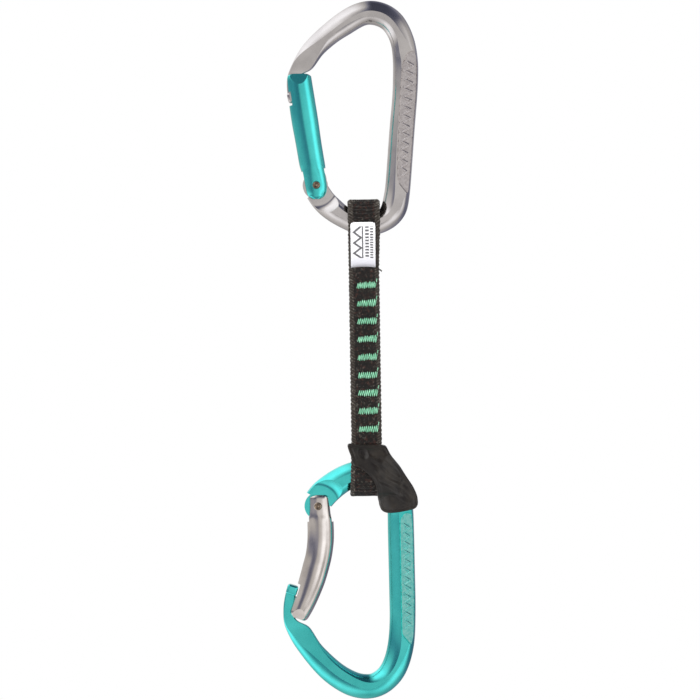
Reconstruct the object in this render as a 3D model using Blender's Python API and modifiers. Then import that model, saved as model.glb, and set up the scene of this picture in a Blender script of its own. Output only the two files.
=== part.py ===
"""Climbing quickdraw: two carabiners joined by a stitched tape sling.

The origin is the hang point, inside the top bend of the upper carabiner.
+X runs from the gates to the spines, +Z is up, and Y is the depth.
Every size below is in millimetres; meshes are made in metres.
"""
import math

import bmesh
import bpy
from mathutils import Matrix, Vector

MM = 0.001

# ---- fits and clearances ----
GAP = 0.3
PIN_GAP = 0.2
CUT_OVER = 6.0

# ---- carabiner bars ----
BAR_HALF = 4.75
PLATE_HALF = 1.6
TANG_HALF = 2.1
POCKET_DEPTH = 0.7
STEP_INNER = 8.6
STEP_OUTER = 11.4
HEAD_HALF = 2.7
HEAD_LENGTH = 4.4
HEAD_ROUNDING = 0.5

# ---- gates ----
GATE_HALF = 4.6
FORK_HALF = 4.35
ROUND = 2.0
BOXY = 3.8
FORK_FLOOR = 6.9
SLOT_TIP_GAP = 1.2
RIVET_RADIUS = 1.3
RIVET_HEAD_RADIUS = 1.65
RIVET_HEAD_DEPTH = 1.0
RIVET_DOME = 0.25
BORE_RADIUS = 1.75
BORE_END = 24.0

# ---- return spring, plunger and the cam it runs on ----
CAM_RADIUS = 5.0
CAM_RISE = 1.2
CAM_LEAD = 12.0
CAM_OVERRUN = 10.0
CAM_FALL = 0.05
TANG_REACH = 5.9
OPEN_ANGLE = 30.0
PLUNGER_RADIUS = 1.4
PLUNGER_LENGTH = 5.6
TIP_GAP = 0.15
SPRING_WIRE = 0.25
SPRING_RADIUS = 1.2
SPRING_TURNS = 6
SPRING_STEPS = 10

# ---- sling ----
SLING_X = -3.9
TAPE_WIDTH = 13.3
TAPE_THICK = 1.8
EYE_WIDTH = 14.0
EYE_SHIFT = 0.3
LOWER_EYE_SHIFT = -1.0
LOWER_EYE_WIDTH = 12.9
TOP_EYE_Z = -87.2
TOP_EYE_INNER = 9.1
TOP_THROAT = 17.8
STITCHED_LENGTH = 75.5
EYE_DROP = 23.4
CROWN_OVER_EYE = 4.4
LOWER_EYE_HALF = 6.4
LOWER_EYE_MOUTH = 0.9
LOWER_EYE_TURNS = (3.0, 7.0, 11.6)
LOWER_EYE_NECK = 1.3
LOWER_EYE_FOOT = ((7.0, 0.0), (3.1, 1.0))
LOWER_EYE_SAG = 0.8
ARC_STEP = 12.0

# ---- label and bartacks ----
LABEL_LEFT = -9.6
LABEL_RIGHT = 1.35
LABEL_THICK = 0.4
LABEL_TOP = 1.6
LABEL_TUCK = 0.08
TACKS = 9
TACK_WIDTH = 7.6
TACK_HEIGHT = 3.0
TACK_WEB = 1.2
TACK_FLANGE = 0.7
TACK_SHIFT = 0.8
TACK_FIRST = 8.4
TACK_PITCH = 7.79

# ---- rubber keeper ----
KEEPER_WALL = 1.5
KEEPER_SKIRT = 3.6
KEEPER_LEFT = -11.4
KEEPER_STEP_X = 5.0

# Rows: outer edge X Z, inner edge X Z, half depth, and where the flat side
# starts and stops as shares of the way from the outer to the inner edge.
UPPER_BAR = (
    (-35.9, -30.8, -30.9, -30.0, PLATE_HALF, 0.12, 0.88),
    (-36.2, -26.0, -31.0, -25.6, PLATE_HALF, 0.12, 0.88),
    (-36.1, -23.0, -31.3, -22.6, PLATE_HALF, 0.12, 0.88),
    (-35.5, -20.9, -29.4, -20.6, PLATE_HALF, 0.08, 0.92),
    (-35.0, -19.6, -26.1, -20.3, PLATE_HALF, 0.05, 0.95),
    (-32.9, -15.0, -23.0, -16.5, 2.4, 0.05, 0.91),
    (-30.0, -10.0, -20.5, -13.0, 3.0, 0.17, 0.78),
    (-25.6, -5.0, -16.8, -9.7, 3.6, 0.29, 0.68),
    (-20.0, 0.0, -12.8, -6.7, 4.1, 0.40, 0.66),
    (-13.5, 5.0, -8.0, -3.9, 4.5, 0.44, 0.66),
    (-6.7, 8.8, -3.5, -1.2, 4.7, 0.46, 0.67),
    (0.6, 10.4, 0.0, 0.0, BAR_HALF, 0.46, 0.69),
    (7.9, 8.8, 4.5, -1.2, BAR_HALF, 0.46, 0.69),
    (13.5, 5.0, 7.0, -3.5, BAR_HALF, 0.47, 0.69),
    (16.9, 0.0, 8.6, -6.5, BAR_HALF, 0.46, 0.69),
    (19.0, -5.0, 9.5, -9.5, BAR_HALF, 0.38, 0.70),
    (20.3, -10.0, 9.9, -13.0, BAR_HALF, 0.24, 0.72),
    (21.1, -18.0, 10.1, -18.0, BAR_HALF, 0.08, 0.73),
    (20.6, -30.0, 9.7, -30.0, BAR_HALF, 0.07, 0.72),
    (19.2, -45.0, 8.2, -45.0, BAR_HALF, 0.07, 0.72),
    (17.9, -60.0, 6.9, -60.0, BAR_HALF, 0.07, 0.72),
    (17.0, -70.0, 6.0, -70.0, BAR_HALF, 0.09, 0.71),
    (16.3, -76.0, 5.1, -75.0, BAR_HALF, 0.18, 0.70),
    (14.8, -82.5, 4.0, -79.5, BAR_HALF, 0.30, 0.70),
    (10.5, -87.8, 2.2, -81.5, BAR_HALF, 0.38, 0.70),
    (4.0, -91.0, -0.5, -82.4, BAR_HALF, 0.40, 0.70),
    (-2.0, -92.0, -3.5, -82.3, BAR_HALF, 0.40, 0.70),
    (-8.5, -90.6, -6.8, -81.4, BAR_HALF, 0.40, 0.70),
    (-15.0, -87.5, -10.5, -79.2, BAR_HALF, 0.40, 0.72),
    (-20.5, -84.0, -14.0, -76.0, BAR_HALF, 0.38, 0.74),
    (-25.0, -79.8, -17.0, -73.0, BAR_HALF, 0.34, 0.76),
    (-28.0, -75.2, -19.3, -69.3, BAR_HALF, 0.30, 0.78),
)
LOWER_BAR = (
    (-30.3, -3.5, -19.6, -9.8, BAR_HALF, 0.30, 0.78),
    (-27.5, 0.0, -17.5, -7.5, BAR_HALF, 0.34, 0.76),
    (-25.0, 2.1, -15.0, -5.3, BAR_HALF, 0.36, 0.75),
    (-20.0, 5.5, -12.5, -3.5, BAR_HALF, 0.38, 0.74),
    (-15.0, 8.0, -9.5, -1.7, BAR_HALF, 0.40, 0.72),
    (-10.5, 9.5, -6.5, -0.5, BAR_HALF, 0.40, 0.70),
    (-4.0, 10.4, -3.2, 0.0, BAR_HALF, 0.40, 0.70),
    (2.5, 9.5, -0.3, -0.7, BAR_HALF, 0.40, 0.70),
    (8.0, 6.2, 2.0, -2.5, BAR_HALF, 0.38, 0.70),
    (12.0, 1.5, 3.6, -5.0, BAR_HALF, 0.34, 0.70),
    (14.7, -4.0, 4.4, -8.0, BAR_HALF, 0.24, 0.71),
    (15.8, -9.5, 4.7, -11.5, BAR_HALF, 0.12, 0.72),
    (16.1, -20.5, 4.7, -20.5, BAR_HALF, 0.06, 0.73),
    (16.2, -35.5, 4.8, -35.5, BAR_HALF, 0.06, 0.73),
    (16.3, -50.5, 4.9, -50.5, BAR_HALF, 0.06, 0.73),
    (16.1, -60.5, 4.9, -58.5, BAR_HALF, 0.08, 0.73),
    (15.8, -66.5, 4.5, -65.5, BAR_HALF, 0.12, 0.72),
    (15.0, -72.5, 3.6, -71.5, BAR_HALF, 0.20, 0.71),
    (13.0, -79.5, 2.2, -76.3, BAR_HALF, 0.30, 0.70),
    (10.0, -85.3, 0.0, -80.3, BAR_HALF, 0.36, 0.69),
    (5.0, -90.3, -3.0, -82.5, BAR_HALF, 0.40, 0.69),
    (0.0, -92.9, -4.5, -82.9, BAR_HALF, 0.42, 0.68),
    (-5.0, -93.7, -6.0, -82.9, 4.7, 0.42, 0.68),
    (-10.0, -93.2, -8.5, -82.5, 4.55, 0.42, 0.68),
    (-15.0, -91.5, -11.5, -81.2, 4.3, 0.40, 0.68),
    (-20.0, -88.5, -14.5, -79.5, 4.0, 0.36, 0.70),
    (-25.0, -84.5, -18.0, -76.8, 3.6, 0.30, 0.73),
    (-30.0, -79.0, -22.0, -73.0, 3.1, 0.22, 0.78),
    (-35.0, -72.3, -25.5, -69.2, 2.6, 0.12, 0.84),
    (-37.5, -68.5, -27.5, -65.8, 2.2, 0.07, 0.90),
    (-39.5, -64.5, -29.5, -62.6, 1.8, 0.05, 0.94),
    (-40.8, -61.3, -31.2, -60.8, PLATE_HALF, 0.06, 0.94),
    (-41.3, -58.6, -35.6, -59.6, PLATE_HALF, 0.08, 0.92),
    (-41.3, -56.5, -36.6, -57.5, PLATE_HALF, 0.12, 0.88),
    (-41.2, -52.5, -36.5, -53.3, PLATE_HALF, 0.12, 0.88),
    (-40.3, -47.6, -35.9, -48.4, PLATE_HALF, 0.12, 0.88),
    (-39.7, -45.6, -35.4, -46.4, PLATE_HALF, 0.12, 0.88),
)
UPPER_GATE = (
    (-34.9, -21.2, -26.9, -21.2, 3.2, ROUND),
    (-36.2, -22.2, -25.5, -22.2, 4.5, ROUND),
    (-36.3, -25.0, -25.1, -25.0, GATE_HALF, ROUND),
    (-34.6, -40.0, -22.9, -40.0, GATE_HALF, ROUND),
    (-32.8, -51.0, -21.5, -51.0, GATE_HALF, ROUND),
    (-31.1, -62.4, -19.8, -62.4, GATE_HALF, 2.4),
    (-30.2, -63.4, -20.2, -63.4, FORK_HALF, BOXY),
    (-29.3, -70.0, -19.0, -70.0, FORK_HALF, BOXY),
    (-28.7, -72.8, -19.3, -72.8, FORK_HALF, BOXY),
    (-27.4, -74.8, -20.7, -74.8, FORK_HALF, BOXY),
    (-25.9, -75.7, -22.2, -75.7, 4.2, BOXY),
)
LOWER_GATE = (
    (-27.7, -4.6, -21.9, -4.6, 4.0, BOXY),
    (-29.3, -6.0, -20.3, -6.0, FORK_HALF, BOXY),
    (-29.7, -13.4, -19.6, -13.4, FORK_HALF, BOXY),
    (-30.2, -14.6, -19.0, -14.6, GATE_HALF, 2.4),
    (-30.2, -20.5, -18.7, -20.5, GATE_HALF, ROUND),
    (-30.4, -25.0, -18.9, -25.6, GATE_HALF, ROUND),
    (-31.1, -30.0, -19.8, -31.6, GATE_HALF, ROUND),
    (-32.2, -34.0, -21.1, -36.8, GATE_HALF, ROUND),
    (-33.6, -39.0, -22.9, -42.6, GATE_HALF, ROUND),
    (-35.2, -44.6, -25.2, -48.2, GATE_HALF, ROUND),
    (-37.0, -50.0, -27.9, -53.8, GATE_HALF, ROUND),
    (-38.5, -54.3, -30.1, -57.6, 4.5, ROUND),
    (-38.2, -56.9, -31.9, -59.2, 3.2, ROUND),
)
UPPER_PANEL = (
    (16.4, -13.4), (20.0, -12.3), (20.2, -18.0), (19.7, -30.0), (18.3, -45.0),
    (17.0, -60.0), (16.1, -70.0), (15.7, -74.0), (11.8, -69.0), (11.6, -60.0),
    (12.5, -45.0), (13.3, -30.0), (14.5, -18.0),
)
LOWER_PANEL = (
    (12.2, -12.9), (14.9, -13.2), (15.3, -20.5), (15.4, -35.5), (15.4, -50.5),
    (15.2, -60.5), (14.8, -70.6), (10.3, -65.4), (10.3, -50.5), (10.2, -35.5),
    (10.2, -20.5), (10.3, -15.3),
)
KEEPER_OUTLINE = (
    (-12.5, 17.4), (4.4, 16.5), (6.7, 11.8), (10.6, 7.0), (13.2, 2.7),
    (16.1, -1.7), (17.7, -5.4), (18.0, -9.1), (16.7, -11.0), (13.7, -11.7),
    (8.6, -12.6), (4.3, -12.8), (2.0, -11.8), (0.9, -8.8), (0.3, -4.4),
    (0.3, -2.1), (-1.1, 1.6), (-3.8, 4.9), (-6.4, 6.9), (-9.7, 8.4),
    (-10.9, 12.4), (-11.9, 15.0),
)

# Pivots, and where the key head of each nose stands about them: lean of the
# line from pivot to head, its nearest distance, and its two sides.
UPPER_PIVOT = (-24.0, -69.7)
UPPER_LEAN = -8.15
UPPER_KEY = {"lean": -12.9, "near": 37.4, "out": -3.1, "in": 2.2, "slot_in": 5.6}
LOWER_PIVOT = (-25.4, -9.4)
LOWER_LEAN = 180.0
LOWER_KEY = {"lean": 198.1, "near": 36.0, "out": 2.4, "in": -2.4, "slot_in": -5.5}

TAPE_PITCH = TAPE_THICK + GAP
STACK_HALF = 1.5 * TAPE_THICK + GAP
THROAT_Z = TOP_EYE_Z - TOP_THROAT
LOWER_THROAT_Z = THROAT_Z - STITCHED_LENGTH
LOWER_CROWN_Z = LOWER_THROAT_Z - EYE_DROP + CROWN_OVER_EYE


def clear_scene():
    """Remove every object already in the file."""
    for obj in list(bpy.data.objects):
        bpy.data.objects.remove(obj, do_unlink=True)


def new_collection(name):
    """Make a collection in the scene."""
    group = bpy.data.collections.new(name)
    bpy.context.scene.collection.children.link(group)
    return group


def material(name, colour, roughness, metallic):
    """A plain Principled material."""
    mat = bpy.data.materials.new(name)
    mat.use_nodes = True
    shader = mat.node_tree.nodes["Principled BSDF"]
    shader.inputs["Base Color"].default_value = (*colour, 1.0)
    shader.inputs["Roughness"].default_value = roughness
    shader.inputs["Metallic"].default_value = metallic
    mat.diffuse_color = (*colour, 1.0)
    return mat


def add_object(name, mesh, group, mat=None, origin=(0.0, 0.0, 0.0)):
    """Link a mesh made in world metres, with its origin at a point in mm."""
    centre = Vector(origin) * MM
    mesh.transform(Matrix.Translation(-centre))
    obj = bpy.data.objects.new(name, mesh)
    obj.location = centre
    group.objects.link(obj)
    if mat:
        mesh.materials.append(mat)
    return obj


def add_cutter(name, mesh, group):
    """Link a mesh that only cuts, joins or trims another."""
    obj = add_object(name, mesh, group)
    obj.hide_render = True
    obj.display_type = "WIRE"
    return obj


def mesh_from_rings(name, rings):
    """Close a run of equal rings of points in mm into one body."""
    bm = bmesh.new()
    rows = [[bm.verts.new(Vector(p) * MM) for p in ring] for ring in rings]
    count = len(rings[0])
    for low, high in zip(rows, rows[1:]):
        for i in range(count):
            j = (i + 1) % count
            bm.faces.new((low[i], low[j], high[j], high[i]))
    bm.faces.new(list(reversed(rows[0])))
    bm.faces.new(rows[-1])
    bmesh.ops.recalc_face_normals(bm, faces=bm.faces)
    bmesh.ops.triangulate(bm, faces=bm.faces)
    mesh = bpy.data.meshes.new(name)
    bm.to_mesh(mesh)
    bm.free()
    return mesh


def smooth_rows(rows, parts):
    """Catmull-Rom points between rows, with the given parts per interval."""
    last = len(rows) - 1
    result = []
    for i in range(last):
        a, b, c, d = (rows[max(0, min(last, i + k))] for k in (-1, 0, 1, 2))
        for step in range(parts):
            t = step / parts
            result.append(tuple(
                0.5 * (2 * q + (r - p) * t + (2 * p - 5 * q + 4 * r - s) * t * t
                       + (3 * q - p - 3 * r + s) * t ** 3)
                for p, q, r, s in zip(a, b, c, d)))
    result.append(tuple(float(v) for v in rows[last]))
    return result


def bar_ring(row):
    """Section of a forged bar: outer arc, flat side, inner arc, each way."""
    ox, oz, ix, iz, half, start, stop = row
    arcs = [(start * (1 - math.cos(t)), math.sin(t)) for t in (0.0, 0.5, 1.0, math.pi / 2)]
    arcs += [(1 - (1 - stop) * (1 - math.cos(t)), math.sin(t))
             for t in (math.pi / 2, 1.0, 0.5, 0.0)]
    front = [(u, -half * s) for u, s in arcs]
    back = [(u, half * s) for u, s in reversed(arcs[1:-1])]
    return [(ox + (ix - ox) * u, y, oz + (iz - oz) * u) for u, y in front + back]


def bar_mesh(name, rows, parts=2):
    """Loft a carabiner bar through its rows."""
    return mesh_from_rings(name, [bar_ring(row) for row in smooth_rows(rows, parts)])


def gate_ring(row):
    """Section of a gate, 24 sided: an ellipse for a power of 2, boxier for more."""
    lx, lz, rx, rz, half, power = row
    ring = []
    for i in range(24):
        c, s = math.cos(math.tau * i / 24), math.sin(math.tau * i / 24)
        u = 0.5 - 0.5 * math.copysign(abs(c) ** (2 / power), c)
        y = -half * math.copysign(abs(s) ** (2 / power), s)
        ring.append((lx + (rx - lx) * u, y, lz + (rz - lz) * u))
    return ring


def shifted(rows, drop):
    """Move the Z columns of bar or gate rows."""
    return [(r[0], r[1] + drop, r[2], r[3] + drop, *r[4:]) for r in rows]


def grown(rows, plan, depth):
    """Grow bar rows in plan and in depth."""
    result = []
    for ox, oz, ix, iz, half, start, stop in rows:
        out = Vector((ox - ix, oz - iz)).normalized() * plan
        result.append((ox + out.x, oz + out.y, ix - out.x, iz - out.y, half + depth, start, stop))
    return result


def outline_mesh(name, points, thickness, axes):
    """Flat outline as a filled 2D curve, extruded, in axes (columns) at an offset."""
    curve = bpy.data.curves.new(name, "CURVE")
    curve.dimensions = "2D"
    curve.fill_mode = "BOTH"
    curve.extrude = thickness * MM / 2
    spline = curve.splines.new("POLY")
    spline.points.add(len(points) - 1)
    for point, (a, b) in zip(spline.points, points):
        point.co = (a * MM, b * MM, 0.0, 1.0)
    spline.use_cyclic_u = True
    obj = bpy.data.objects.new(name, curve)
    obj.matrix_world = axes
    bpy.context.scene.collection.objects.link(obj)
    bpy.context.view_layer.update()
    shown = obj.evaluated_get(bpy.context.evaluated_depsgraph_get())
    mesh = bpy.data.meshes.new_from_object(shown)
    mesh.transform(obj.matrix_world)
    bm = bmesh.new()
    bm.from_mesh(mesh)
    bmesh.ops.remove_doubles(bm, verts=bm.verts, dist=1e-7)
    bmesh.ops.recalc_face_normals(bm, faces=bm.faces)
    bm.to_mesh(mesh)
    bm.free()
    bpy.data.objects.remove(obj, do_unlink=True)
    return mesh


def plan_mesh(name, points, y0, y1):
    """Prism of an XZ outline between two depths."""
    axes = Matrix(((1, 0, 0, 0), (0, 0, -1, (y0 + y1) / 2 * MM), (0, 1, 0, 0), (0, 0, 0, 1)))
    return outline_mesh(name, points, y1 - y0, axes)


def side_mesh(name, points, x0, x1):
    """Prism of a YZ outline between two X places."""
    axes = Matrix(((0, 0, 1, (x0 + x1) / 2 * MM), (1, 0, 0, 0), (0, 1, 0, 0), (0, 0, 0, 1)))
    return outline_mesh(name, points, x1 - x0, axes)


def lean_frame(pivot, lean):
    """Axes at a pivot: local Z leans from up towards +X, local X is across it."""
    return (Matrix.Translation(Vector((pivot[0], 0.0, pivot[1])) * MM)
            @ Matrix.Rotation(math.radians(lean), 4, "Y"))


def box_mesh(name, low, high, axes):
    """Box between two corners in mm, in the given axes."""
    size = [(b - a) * MM for a, b in zip(low, high)]
    centre = Vector([(a + b) / 2 * MM for a, b in zip(low, high)])
    bm = bmesh.new()
    bmesh.ops.create_cube(bm, size=1.0, matrix=axes @ Matrix.Translation(centre)
                          @ Matrix.Diagonal((*size, 1.0)))
    mesh = bpy.data.meshes.new(name)
    bm.to_mesh(mesh)
    bm.free()
    return mesh


def round_mesh(name, r0, r1, a0, a1, axes, sides=24):
    """Cylinder or cone along local Z from a0 to a1, in the given axes."""
    bm = bmesh.new()
    bmesh.ops.create_cone(bm, cap_ends=True, segments=sides, radius1=r0 * MM, radius2=r1 * MM,
                          depth=(a1 - a0) * MM,
                          matrix=axes @ Matrix.Translation((0.0, 0.0, (a0 + a1) / 2 * MM)))
    mesh = bpy.data.meshes.new(name)
    bm.to_mesh(mesh)
    bm.free()
    return mesh


def boolean(obj, kind, cutter):
    """Add an exact Boolean modifier."""
    mod = obj.modifiers.new(cutter.name, "BOOLEAN")
    mod.solver = "EXACT"
    mod.operation = kind
    mod.object = cutter


def turned(name, profile, axes, group, mat, sides=20):
    """Turn a profile of radius and height about local Z."""
    mesh = bpy.data.meshes.new(name)
    verts = [(r * MM, 0.0, a * MM) for r, a in profile]
    mesh.from_pydata(verts, [(i, i + 1) for i in range(len(verts) - 1)], [])
    obj = bpy.data.objects.new(name, mesh)
    obj.matrix_world = axes
    group.objects.link(obj)
    mesh.materials.append(mat)
    screw = obj.modifiers.new("turn", "SCREW")
    screw.axis = "Z"
    screw.steps = sides
    screw.render_steps = sides
    screw.use_merge_vertices = True
    screw.merge_threshold = 1e-5
    return obj


def cam_radius(angle, closed, sign):
    """Edge of the tang at an angle from up towards +X."""
    turn = sign * (angle - closed)
    turn = (turn + 180.0) % 360.0 - 180.0
    rise = CAM_RISE / OPEN_ANGLE
    last = OPEN_ANGLE + CAM_OVERRUN
    if -CAM_LEAD <= turn <= last:
        return CAM_RADIUS + rise * turn
    if turn > last:
        return max(CAM_RADIUS, CAM_RADIUS + rise * last - CAM_FALL * (turn - last))
    return min(TANG_REACH, CAM_RADIUS - CAM_LEAD * rise + CAM_FALL * (-CAM_LEAD - turn))


def tang_mesh(name, pivot, closed, sign):
    """Plate about the rivet whose edge is the plunger's cam."""
    points = []
    for i in range(48):
        angle = 7.5 * i
        reach = cam_radius(angle, closed, sign)
        points.append((pivot[0] + reach * math.sin(math.radians(angle)),
                       pivot[1] + reach * math.cos(math.radians(angle))))
    return plan_mesh(name, points, -TANG_HALF, TANG_HALF)


def cross_axes(pivot, side=1.0):
    """Axes at a pivot with local Z along -Y (side 1) or +Y (side -1)."""
    return (Matrix.Translation(Vector((pivot[0], 0.0, pivot[1])) * MM)
            @ Matrix.Rotation(side * math.pi / 2, 4, "X"))


def ordered(a, b):
    """Two numbers, smaller first."""
    return (a, b) if a < b else (b, a)


def key_box(name, pivot, key, spec, half):
    """Box in the frame of a nose's key: spec is out, in, near, far."""
    out, inner, near, far = spec
    low_x, high_x = ordered(out, inner)
    return box_mesh(name, (low_x, -half, near), (high_x, half, far), lean_frame(pivot, key["lean"]))


def make_body(name, rows, pivot, closed, sign, key, panel, group, cutters, mat):
    """Carabiner body: bar, tang, key head, rivet hole, clearance steps and panels."""
    body = add_object(name, bar_mesh(name, rows), group, mat)
    far = key["near"] + HEAD_LENGTH
    for side in (1.0, -1.0):
        cone = round_mesh(f"{name}_step", STEP_INNER, STEP_OUTER + (STEP_OUTER - STEP_INNER),
                          TANG_HALF, 2 * BAR_HALF - TANG_HALF, cross_axes(pivot, side), 48)
        boolean(body, "DIFFERENCE", add_cutter(f"{name}_step_{'front' if side > 0 else 'back'}",
                                               cone, cutters))
    tang = add_cutter(f"{name}_tang", tang_mesh(f"{name}_tang", pivot, closed, sign), cutters)
    boolean(body, "UNION", tang)
    head = add_cutter(f"{name}_head", key_box(f"{name}_head", pivot, key,
                                              (key["out"], key["in"], key["near"], far),
                                              HEAD_HALF), cutters)
    bevel = head.modifiers.new("round", "BEVEL")
    bevel.width = HEAD_ROUNDING * MM
    bevel.segments = 2
    boolean(body, "UNION", head)
    hole = round_mesh(f"{name}_hole", RIVET_RADIUS + PIN_GAP, RIVET_RADIUS + PIN_GAP,
                      -CUT_OVER, CUT_OVER, cross_axes(pivot))
    boolean(body, "DIFFERENCE", add_cutter(f"{name}_hole", hole, cutters))
    floor = BAR_HALF - POCKET_DEPTH
    for label, y0, y1 in (("front", -BAR_HALF - CUT_OVER, -floor), ("back", floor, BAR_HALF + CUT_OVER)):
        cut = plan_mesh(f"{name}_panel_{label}", panel, y0, y1)
        boolean(body, "DIFFERENCE", add_cutter(f"{name}_panel_{label}", cut, cutters))
    return body


def make_gate(name, rows, pivot, lean, key, group, cutters, mat):
    """Gate: fork slot, key slots, rivet holes and the spring's bore."""
    mesh = mesh_from_rings(name, [gate_ring(row) for row in rows])
    gate = add_object(name, mesh, group, mat, (pivot[0], 0.0, pivot[1]))
    axes = lean_frame(pivot, lean)
    wide = 3 * GATE_HALF
    fork = box_mesh(f"{name}_fork", (-wide, -TANG_HALF - GAP, -wide),
                    (wide, TANG_HALF + GAP, FORK_FLOOR), axes)
    sign = 1.0 if key["in"] > key["out"] else -1.0
    reach = -sign * 3 * GATE_HALF
    far = key["near"] + HEAD_LENGTH
    head = key_box(f"{name}_head_slot", pivot, key,
                   (reach, key["in"] + sign * 0.4, key["near"] - SLOT_TIP_GAP, far + GAP),
                   HEAD_HALF + GAP)
    neck = key_box(f"{name}_neck_slot", pivot, key,
                   (reach, key["slot_in"], far, far + 3 * CUT_OVER), PLATE_HALF + GAP)
    hole = round_mesh(f"{name}_hole", RIVET_RADIUS + PIN_GAP, RIVET_RADIUS + PIN_GAP,
                      -CUT_OVER, CUT_OVER, cross_axes(pivot))
    bore = round_mesh(f"{name}_bore", BORE_RADIUS, BORE_RADIUS, FORK_FLOOR - 1.0, BORE_END, axes)
    cuts = [("fork", fork), ("head_slot", head), ("neck_slot", neck), ("hole", hole), ("bore", bore)]
    seat = FORK_HALF - RIVET_HEAD_DEPTH
    for side, label in ((1.0, "front"), (-1.0, "back")):
        counter = round_mesh(f"{name}_seat", RIVET_HEAD_RADIUS + PIN_GAP,
                             RIVET_HEAD_RADIUS + PIN_GAP, seat, CUT_OVER, cross_axes(pivot, side))
        cuts.append((f"seat_{label}", counter))
    for label, cut in cuts:
        boolean(gate, "DIFFERENCE", add_cutter(f"{name}_{label}", cut, cutters))
    return gate


def make_rivet(name, pivot, group, mat):
    """Rivet with a head at each side, turned about the pivot."""
    seat = FORK_HALF - RIVET_HEAD_DEPTH + PIN_GAP
    top = FORK_HALF + RIVET_DOME
    profile = ((0.0, top), (1.0, top - 0.08), (RIVET_HEAD_RADIUS, top - 0.4),
               (RIVET_HEAD_RADIUS, seat), (RIVET_RADIUS, seat), (RIVET_RADIUS, -seat),
               (RIVET_HEAD_RADIUS, -seat), (RIVET_HEAD_RADIUS, 0.4 - top),
               (1.0, 0.08 - top), (0.0, -top))
    return turned(name, profile, cross_axes(pivot), group, mat)


def plunger_tip():
    """Distance from the pivot to the tip of the closed plunger."""
    slope = math.atan(CAM_RISE / math.radians(OPEN_ANGLE) / CAM_RADIUS)
    return CAM_RADIUS + (PLUNGER_RADIUS + TIP_GAP) / math.cos(slope) - PLUNGER_RADIUS


def make_plunger(name, pivot, lean, group, mat):
    """Round-nosed pin that runs on the cam."""
    tip = plunger_tip()
    profile = [(PLUNGER_RADIUS * math.sin(math.radians(a)),
                tip + PLUNGER_RADIUS * (1 - math.cos(math.radians(a)))) for a in (0, 22.5, 45, 67.5, 90)]
    profile += [(PLUNGER_RADIUS, tip + PLUNGER_LENGTH), (0.0, tip + PLUNGER_LENGTH)]
    obj = turned(name, [(r, a) for r, a in reversed(profile)], lean_frame(pivot, lean), group, mat, 16)
    return obj


def make_spring(name, pivot, lean, group, mat):
    """Coil between the plunger's back and the end of the bore."""
    low = plunger_tip() + PLUNGER_LENGTH + SPRING_WIRE + GAP
    high = BORE_END - SPRING_WIRE - GAP
    steps = SPRING_TURNS * SPRING_STEPS
    curve = bpy.data.curves.new(name, "CURVE")
    curve.dimensions = "3D"
    curve.bevel_depth = SPRING_WIRE * MM
    curve.bevel_resolution = 2
    curve.use_fill_caps = True
    spline = curve.splines.new("POLY")
    spline.points.add(steps)
    for i, point in enumerate(spline.points):
        turn = math.tau * i / SPRING_STEPS
        rise = low + (high - low) * i / steps
        point.co = (SPRING_RADIUS * MM * math.cos(turn), SPRING_RADIUS * MM * math.sin(turn),
                    rise * MM, 1.0)
    obj = bpy.data.objects.new(name, curve)
    obj.matrix_world = lean_frame(pivot, lean)
    curve.materials.append(mat)
    group.objects.link(obj)
    return obj


def tangent_turn(point, radius):
    """Angle past the line to an outside point at which its tangent touches a circle."""
    return math.acos(radius / math.hypot(*point))


def top_eye_path():
    """Centre line of the top eye, from the back leg over to the front leg."""
    radius = TOP_EYE_INNER + TAPE_THICK / 2
    back, front = (TAPE_PITCH, -TOP_THROAT), (0.0, -TOP_THROAT)
    start = math.atan2(back[1], back[0]) + tangent_turn(back, radius)
    stop = math.atan2(front[1], front[0]) - tangent_turn(front, radius) + math.tau
    count = round(math.degrees(stop - start) / ARC_STEP)
    arc = [start + (stop - start) * i / count for i in range(count + 1)]
    return [(radius * math.cos(a), TOP_EYE_Z + radius * math.sin(a)) for a in arc]


def lower_eye_path():
    """Centre line of the lower eye, from the front leg under to the back leg."""
    half = LOWER_EYE_HALF + TAPE_THICK / 2
    base = LOWER_THROAT_Z
    mouth, shoulder, flank = LOWER_EYE_TURNS
    side = [(-TAPE_PITCH, 0.0), (-TAPE_PITCH - LOWER_EYE_MOUTH, -mouth),
            (-half + LOWER_EYE_NECK, -shoulder), (-half, -flank)]
    side += [(-half + inward, rise - EYE_DROP) for rise, inward in LOWER_EYE_FOOT]
    side += [(-half / 2, LOWER_EYE_SAG - EYE_DROP), (0.0, -EYE_DROP)]
    mirrored = [(-y, z) for y, z in reversed(side[:-1])]
    return [(y, base + z) for y, z in smooth_rows(side + mirrored, 2)]


def tape_path():
    """Whole centre line: front end, lower eye, back, top eye, middle end."""
    path = [(-TAPE_PITCH, THROAT_Z - 0.6)]
    path += lower_eye_path()
    path += [(TAPE_PITCH, THROAT_Z)]
    path += top_eye_path()
    path += [(0.0, THROAT_Z), (0.0, LOWER_THROAT_Z + 0.8)]
    return path


def tape_place(z):
    """Left and right edge of the tape at a height."""
    up = max(0.0, min(1.0, (z - THROAT_Z) / TOP_THROAT))
    down = max(0.0, min(1.0, (LOWER_THROAT_Z - z) / EYE_DROP))
    centre = SLING_X + EYE_SHIFT * up + LOWER_EYE_SHIFT * down
    half = (TAPE_WIDTH + (EYE_WIDTH - TAPE_WIDTH) * up + (LOWER_EYE_WIDTH - TAPE_WIDTH) * down) / 2
    return centre - half, centre + half


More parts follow.
